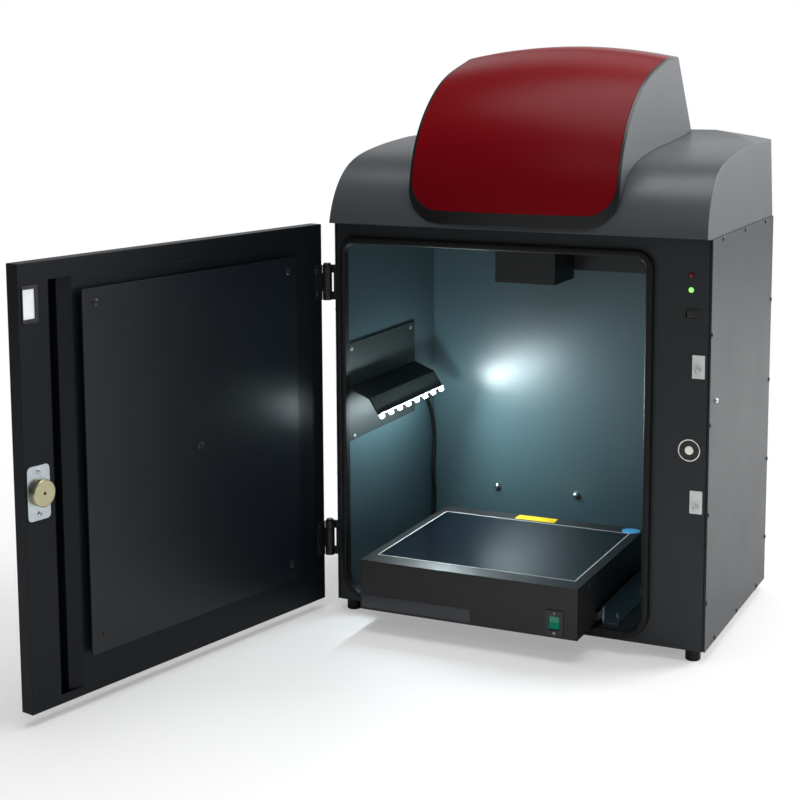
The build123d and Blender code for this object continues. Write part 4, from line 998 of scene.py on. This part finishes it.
@dataclass
class DoorWindow:
    """The milky pane that stands just behind the rim of the door's window, and glows with painted light."""

    nodes: dict[str, bpy.types.Object]
    rim_depth: float = 1.4
    tolerance: float = 0.1

    def build(self) -> None:
        """Moves the pane's inner face up to just behind the rim."""
        axis = widest_face_normal(self.nodes["door_baffle"])
        panel = self.reach("door_panel", axis)
        frame = self.reach("window_frame", axis)
        pane = self.reach("window_pane", axis)
        if sum(frame) / len(frame) < sum(panel) / len(panel):
            face, far = min(frame) + self.rim_depth * MM, min(pane)
        else:
            face, far = max(frame) - self.rim_depth * MM, max(pane)
        mesh = bmesh.new()
        mesh.from_mesh(self.nodes["window_pane"].data)
        for vertex in mesh.verts:
            if abs(vertex.co.dot(axis) - far) < self.tolerance * MM:
                vertex.co += axis * (face - far)
        # The pane's finish glows with painted light, not with a lamp's.
        piece = new_piece("window_pane_painted_glow", mesh, PAINTED_GLOW_PANE, Body.DOOR)
        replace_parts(piece, "window_pane")

    def reach(self, node: str, axis: Vector) -> list[float]:
        """How far each point of a node lies along an axis."""
        return [vertex.co.dot(axis) for vertex in self.nodes[node].data.vertices]


@dataclass
class LampDrawer:
    """What is stuck on the lamp case: border line, labels, bare name plate and switch marks."""

    border_width: float = 1.5
    sheet: float = 0.25
    plate_thick: float = 0.5
    plate_start: float = 2.0
    plate_end: float = 146.0
    plate_low: float = 3.0
    plate_high: float = 19.0
    plate_edge: float = 0.2
    label_from_left: float = 107.5
    label_from_back: float = 1.0
    label_length: float = 55.0
    label_width: float = 19.0
    label_edge: float = 0.1
    sticker_from_right: float = 14.6
    sticker_from_back: float = 13.4
    sticker_radius: float = 12.0
    sticker_profile: tuple[tuple[float, float], ...] = ((1.0, 0.0), (1.0, 0.7), (0.98, 1.0))
    sticker_sides: int = 48
    mark_inset: float = 3.0
    mark_thick: float = 0.12
    line_half_width: float = 0.4
    line_half_length: float = 1.5
    circle_inner: float = 0.9
    circle_outer: float = 1.5
    circle_sides: int = 24
    side_screw_radius: float = 3.0
    side_screw_head: float = 1.3
    side_screw_drop: float = 8.0
    side_screw_shares: tuple[float, float] = (0.16, 0.86)
    lid_low: Vector = field(init=False)
    lid_high: Vector = field(init=False)
    case_low: Vector = field(init=False)

    def __post_init__(self) -> None:
        """Reads where the case and its lid are."""
        self.lid_low, self.lid_high = corners("lamp_case_lid")
        self.case_low, _ = corners("lamp_case")

    def build(self) -> None:
        """Makes the pieces in order."""
        self.make_border()
        self.make_plate()
        self.make_label()
        self.make_sticker()
        self.make_marks()
        self.make_side_screws()

    def make_border(self) -> None:
        """Makes the light line round the filter glass."""
        low, high = corners("filter_glass")
        wide = self.border_width * MM
        top = high.z + self.sheet * MM
        mesh = bmesh.new()
        add_block(mesh, (low.x, low.y, high.z), (high.x, low.y + wide, top))
        add_block(mesh, (low.x, high.y - wide, high.z), (high.x, high.y, top))
        add_block(mesh, (low.x, low.y + wide, high.z), (low.x + wide, high.y - wide, top))
        add_block(mesh, (high.x - wide, low.y + wide, high.z), (high.x, high.y - wide, top))
        new_piece("glass_border", mesh, PINSTRIPE, Body.TRAY)

    def make_plate(self) -> None:
        """Makes the bare plate at the left of the case's front."""
        left, front, foot = self.case_low
        low = (left + self.plate_start * MM, front - self.plate_thick * MM,
               foot + self.plate_low * MM)
        high = (left + self.plate_end * MM, front, foot + self.plate_high * MM)
        mesh = bmesh.new()
        add_block(mesh, low, high, self.plate_edge * MM)
        new_piece("bare_name_plate", mesh, NAME_PLATE, Body.TRAY)

    def make_label(self) -> None:
        """Makes the blank yellow label behind the glass."""
        left = self.lid_low.x + self.label_from_left * MM
        back = self.lid_high.y - self.label_from_back * MM
        top = self.lid_high.z
        mesh = bmesh.new()
        add_block(mesh, (left, back - self.label_width * MM, top),
                  (left + self.label_length * MM, back, top + self.sheet * MM),
                  self.label_edge * MM)
        new_piece("yellow_label", mesh, YELLOW, Body.TRAY)

    def make_sticker(self) -> None:
        """Makes the blank blue sticker in the lid's back corner."""
        centre = self.lid_high - Vector((self.sticker_from_right * MM,
                                         self.sticker_from_back * MM, 0.0))
        profile = scaled(self.sticker_profile, self.sticker_radius * MM, self.sheet * MM)
        mesh = bmesh.new()
        add_lathe(mesh, profile, Matrix.Translation(centre), self.sticker_sides)
        new_piece("blue_sticker", mesh, BLUE, Body.TRAY)

    def make_marks(self) -> None:
        """Makes the line and the ring that mark the lamp switch."""
        low, high = corners("tray_switch_frame")
        centre = (low.x + high.x) / 2
        thin = self.mark_thick * MM
        upper, lower = high.z - self.mark_inset * MM, low.z + self.mark_inset * MM
        across, along = self.line_half_width * MM, self.line_half_length * MM
        mesh = bmesh.new()
        add_block(mesh, (centre - across, low.y - thin, upper - along),
                  (centre + across, low.y, upper + along))
        add_ring_plate(mesh, Matrix.Translation((centre, low.y, lower)) @ FACING_FRONT,
                       self.circle_inner * MM, self.circle_outer * MM, thin, self.circle_sides)
        new_piece("switch_marks", mesh, WHITE_INK, Body.TRAY)

    def make_side_screws(self) -> None:
        """Makes the two screws that hold the lid at each side of the case."""
        low, high = self.lid_low, self.lid_high
        height = high.z - self.side_screw_drop * MM
        mesh = bmesh.new()
        for side, axis in ((low.x, Vector((-1, 0, 0))), (high.x, Vector((1, 0, 0)))):
            for share in self.side_screw_shares:
                foot = Vector((side, low.y + share * (high.y - low.y), height))
                solid = Turning(foot, axis, self.side_screw_radius * MM, self.side_screw_head * MM)
                ScrewHead(solid, Recess.CROSS).add_to(mesh)
        new_piece("lid_screws", mesh, BLACK_STEEL, Body.TRAY)


@dataclass
class LedRow:
    """The light that the row of white lamps throws: powers in watts, the cone in degrees."""

    node: bpy.types.Object
    beam_power: float = 0.47
    spread_power: float = 0.16
    colour: Colour = (0.80, 0.96, 1.0)
    aim: Point = (0.86, 0.10, -0.50)
    cone: float = 155.0
    cone_blend: float = 0.6
    lead: float = 12.0
    size: float = 4.0

    def build(self) -> None:
        """Hangs a beam and a weak spread light in front of each lamp."""
        aim = Vector(self.aim)
        for points in islands(self.node):
            place = middle_of(points) + aim * self.lead * MM
            beam = self.hang("led_beam", "SPOT", self.beam_power, place)
            beam.data.spot_size = math.radians(self.cone)
            beam.data.spot_blend = self.cone_blend
            beam.rotation_euler = aim.to_track_quat("-Z", "Y").to_euler()
            self.hang("led_spread", "POINT", self.spread_power, place)

    def hang(self, name: str, kind: str, power: float, place: Vector) -> bpy.types.Object:
        """Hangs one small light.

        Args:
            name: The light's name.
            kind: The kind of light.
            power: Its power in watts.
            place: Where it hangs.

        Returns:
            The light.
        """
        data = bpy.data.lights.new(name, kind)
        data.energy = power
        data.color = self.colour
        data.shadow_soft_size = self.size * MM
        light = bpy.data.objects.new(name, data)
        light.location = place
        bpy.context.scene.collection.objects.link(light)
        return light


def mix_shaders(tree: bpy.types.NodeTree, share: bpy.types.NodeSocket,
                first: bpy.types.NodeSocket, second: bpy.types.NodeSocket) -> bpy.types.NodeSocket:
    """Mixes two shaders.

    Args:
        tree: The node tree.
        share: The second one's share.
        first: The first shader.
        second: The second shader.

    Returns:
        The mixed shader.
    """
    mix = tree.nodes.new("ShaderNodeMixShader")
    tree.links.new(share, mix.inputs["Fac"])
    tree.links.new(first, mix.inputs[1])
    tree.links.new(second, mix.inputs[2])
    return mix.outputs["Shader"]


@dataclass(frozen=True)
class SoftLamp:
    """A square studio lamp: its place and side in metres, and its power in watts."""

    name: str
    place: Point
    side: float
    power: float

    def hang(self, target: Point) -> None:
        """Hangs the lamp.

        Args:
            target: Where it points.
        """
        data = bpy.data.lights.new(self.name, "AREA")
        data.size = self.side
        data.energy = self.power
        lamp = bpy.data.objects.new(self.name, data)
        lamp.location = self.place
        aim = Vector(target) - Vector(self.place)
        lamp.rotation_euler = aim.to_track_quat("-Z", "Y").to_euler()
        bpy.context.scene.collection.objects.link(lamp)


@dataclass
class Studio:
    """The pale floor, the soft lamps and the camera: metres and degrees, but a lens in millimetres."""

    camera_place: Point = (0.7790, -1.7550, 0.7126)
    camera_yaw: float = 25.101
    camera_pitch: float = 7.895
    camera_roll: float = -0.267
    camera_reach: float = 60.0
    lens: float = 75.221
    sensor: float = 36.0
    shift: float = 0.15
    ambient: float = 0.16
    dark_room: float = 0.08
    backdrop_start: float = 0.6
    backdrop_full: float = 0.95
    floor_half: float = 12.0
    floor_colour: Colour = (0.90, 0.90, 0.90)
    floor_roughness: float = 0.9
    floor_specular: float = 0.1
    shadow_reach: float = 0.55
    shadow_end: float = 1.15
    shadow_lift: float = 0.35
    lamp_target: Point = (0.1, 0.1, 0.35)
    lamps: tuple[SoftLamp, ...] = (
        SoftLamp("side_lamp", (2.3, 2.2, 1.5), side=1.5, power=120.0),
        SoftLamp("front_fill", (0.3, -3.2, 3.0), side=1.6, power=16.0),
        SoftLamp("top_lamp", (0.2, 0.2, 3.2), side=2.4, power=74.0))

    def build(self) -> None:
        """Makes the world, the floor, the lamps and the camera."""
        self.build_world()
        self.build_floor()
        for lamp in self.lamps:
            lamp.hang(self.lamp_target)
        self.build_camera()
        bpy.context.scene.view_settings.view_transform = "Standard"

    def build_world(self) -> None:
        """Makes a dim world, white to the camera, through glass and in mirrors that see its back."""
        world = bpy.data.worlds.new("studio")
        world.use_nodes = True
        tree = world.node_tree
        background = tree.nodes["Background"]
        background.inputs["Color"].default_value = (1.0, 1.0, 1.0, 1.0)
        rays = tree.nodes.new("ShaderNodeLightPath").outputs
        place = tree.nodes.new("ShaderNodeTexCoord").outputs["Generated"]
        split = tree.nodes.new("ShaderNodeSeparateXYZ")
        tree.links.new(place, split.inputs["Vector"])
        seen = calculate(tree, "MAXIMUM", rays["Is Camera Ray"], rays["Is Transmission Ray"])
        backdrop = map_range(tree, split.outputs["Y"], (self.dark_room, 1.0),
                             self.backdrop_start, self.backdrop_full, smooth=True)
        mirrored = calculate(tree, "MULTIPLY", rays["Is Glossy Ray"], backdrop)
        shown = calculate(tree, "MAXIMUM", seen, mirrored)
        lit = map_range(tree, rays["Is Glossy Ray"], (self.ambient, 0.0))
        strength = calculate(tree, "MAXIMUM", shown, lit)
        tree.links.new(strength, background.inputs["Strength"])
        bpy.context.scene.world = world

    def build_floor(self) -> None:
        """Makes the wide pale floor, which keeps the object's shadow and fades to white."""
        mesh = bmesh.new()
        bmesh.ops.create_grid(mesh, x_segments=1, y_segments=1, size=self.floor_half)
        data = bpy.data.meshes.new("studio_floor")
        mesh.to_mesh(data)
        mesh.free()
        floor = bpy.data.objects.new("studio_floor", data)
        bpy.context.scene.collection.objects.link(floor)
        data.materials.append(self.floor_material())

    def floor_material(self) -> bpy.types.Material:
        """Builds the floor's paint.

        Returns:
            The material.
        """
        material = bpy.data.materials.new("pale floor")
        material.use_nodes = True
        tree = material.node_tree
        shader = tree.nodes["Principled BSDF"]
        set_inputs(shader, {"Base Color": self.floor_colour, "Roughness": self.floor_roughness,
                            "Specular IOR Level": self.floor_specular})
        place = tree.nodes.new("ShaderNodeTexCoord").outputs["Object"]
        away = tree.nodes.new("ShaderNodeVectorMath")
        away.operation = "LENGTH"
        tree.links.new(place, away.inputs[0])
        far = map_range(tree, away.outputs["Value"], (self.shadow_lift, 1.0),
                        self.shadow_reach, self.shadow_end, smooth=True)
        paint = shader.outputs["BSDF"]
        white = tree.nodes.new("ShaderNodeEmission").outputs["Emission"]
        rays = tree.nodes.new("ShaderNodeLightPath").outputs
        fading = mix_shaders(tree, far, paint, white)
        shown = mix_shaders(tree, rays["Is Camera Ray"], paint, fading)
        tree.links.new(shown, tree.nodes["Material Output"].inputs["Surface"])
        return material

    def build_camera(self) -> None:
        """Sets the camera at the photograph's viewing angle."""
        yaw, pitch, roll = (math.radians(angle) for angle in (
            self.camera_yaw, self.camera_pitch, self.camera_roll))
        forward = Vector((-math.sin(yaw) * math.cos(pitch), math.cos(yaw) * math.cos(pitch),
                          -math.sin(pitch)))
        level = Vector((math.cos(yaw), math.sin(yaw), 0.0))
        upright = level.cross(forward)
        right = math.cos(roll) * level + math.sin(roll) * upright
        up = math.cos(roll) * upright - math.sin(roll) * level
        data = bpy.data.cameras.new("camera")
        data.lens = self.lens
        data.sensor_width = self.sensor
        data.sensor_fit = "HORIZONTAL"
        data.shift_y = -self.shift
        data.clip_end = self.camera_reach
        camera = bpy.data.objects.new("camera", data)
        bpy.context.scene.collection.objects.link(camera)
        turn = Matrix((right, up, -forward)).transposed().to_4x4()
        camera.matrix_world = Matrix.Translation(Vector(self.camera_place)) @ turn
        bpy.context.scene.camera = camera


def main() -> None:
    """Loads the frame, dresses it, builds the fine pieces and sets the light and camera."""
    logging.basicConfig(level=logging.INFO, format="%(message)s")
    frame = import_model()
    nodes = frame["nodes"]
    dress_nodes(nodes)
    Fasteners(nodes).build()
    FrontControls(nodes).build()
    DoorWindow(nodes).build()
    LampDrawer().build()
    Studio().build()
    LedRow(nodes["leds"]).build()


if __name__ == "__main__":
    main()
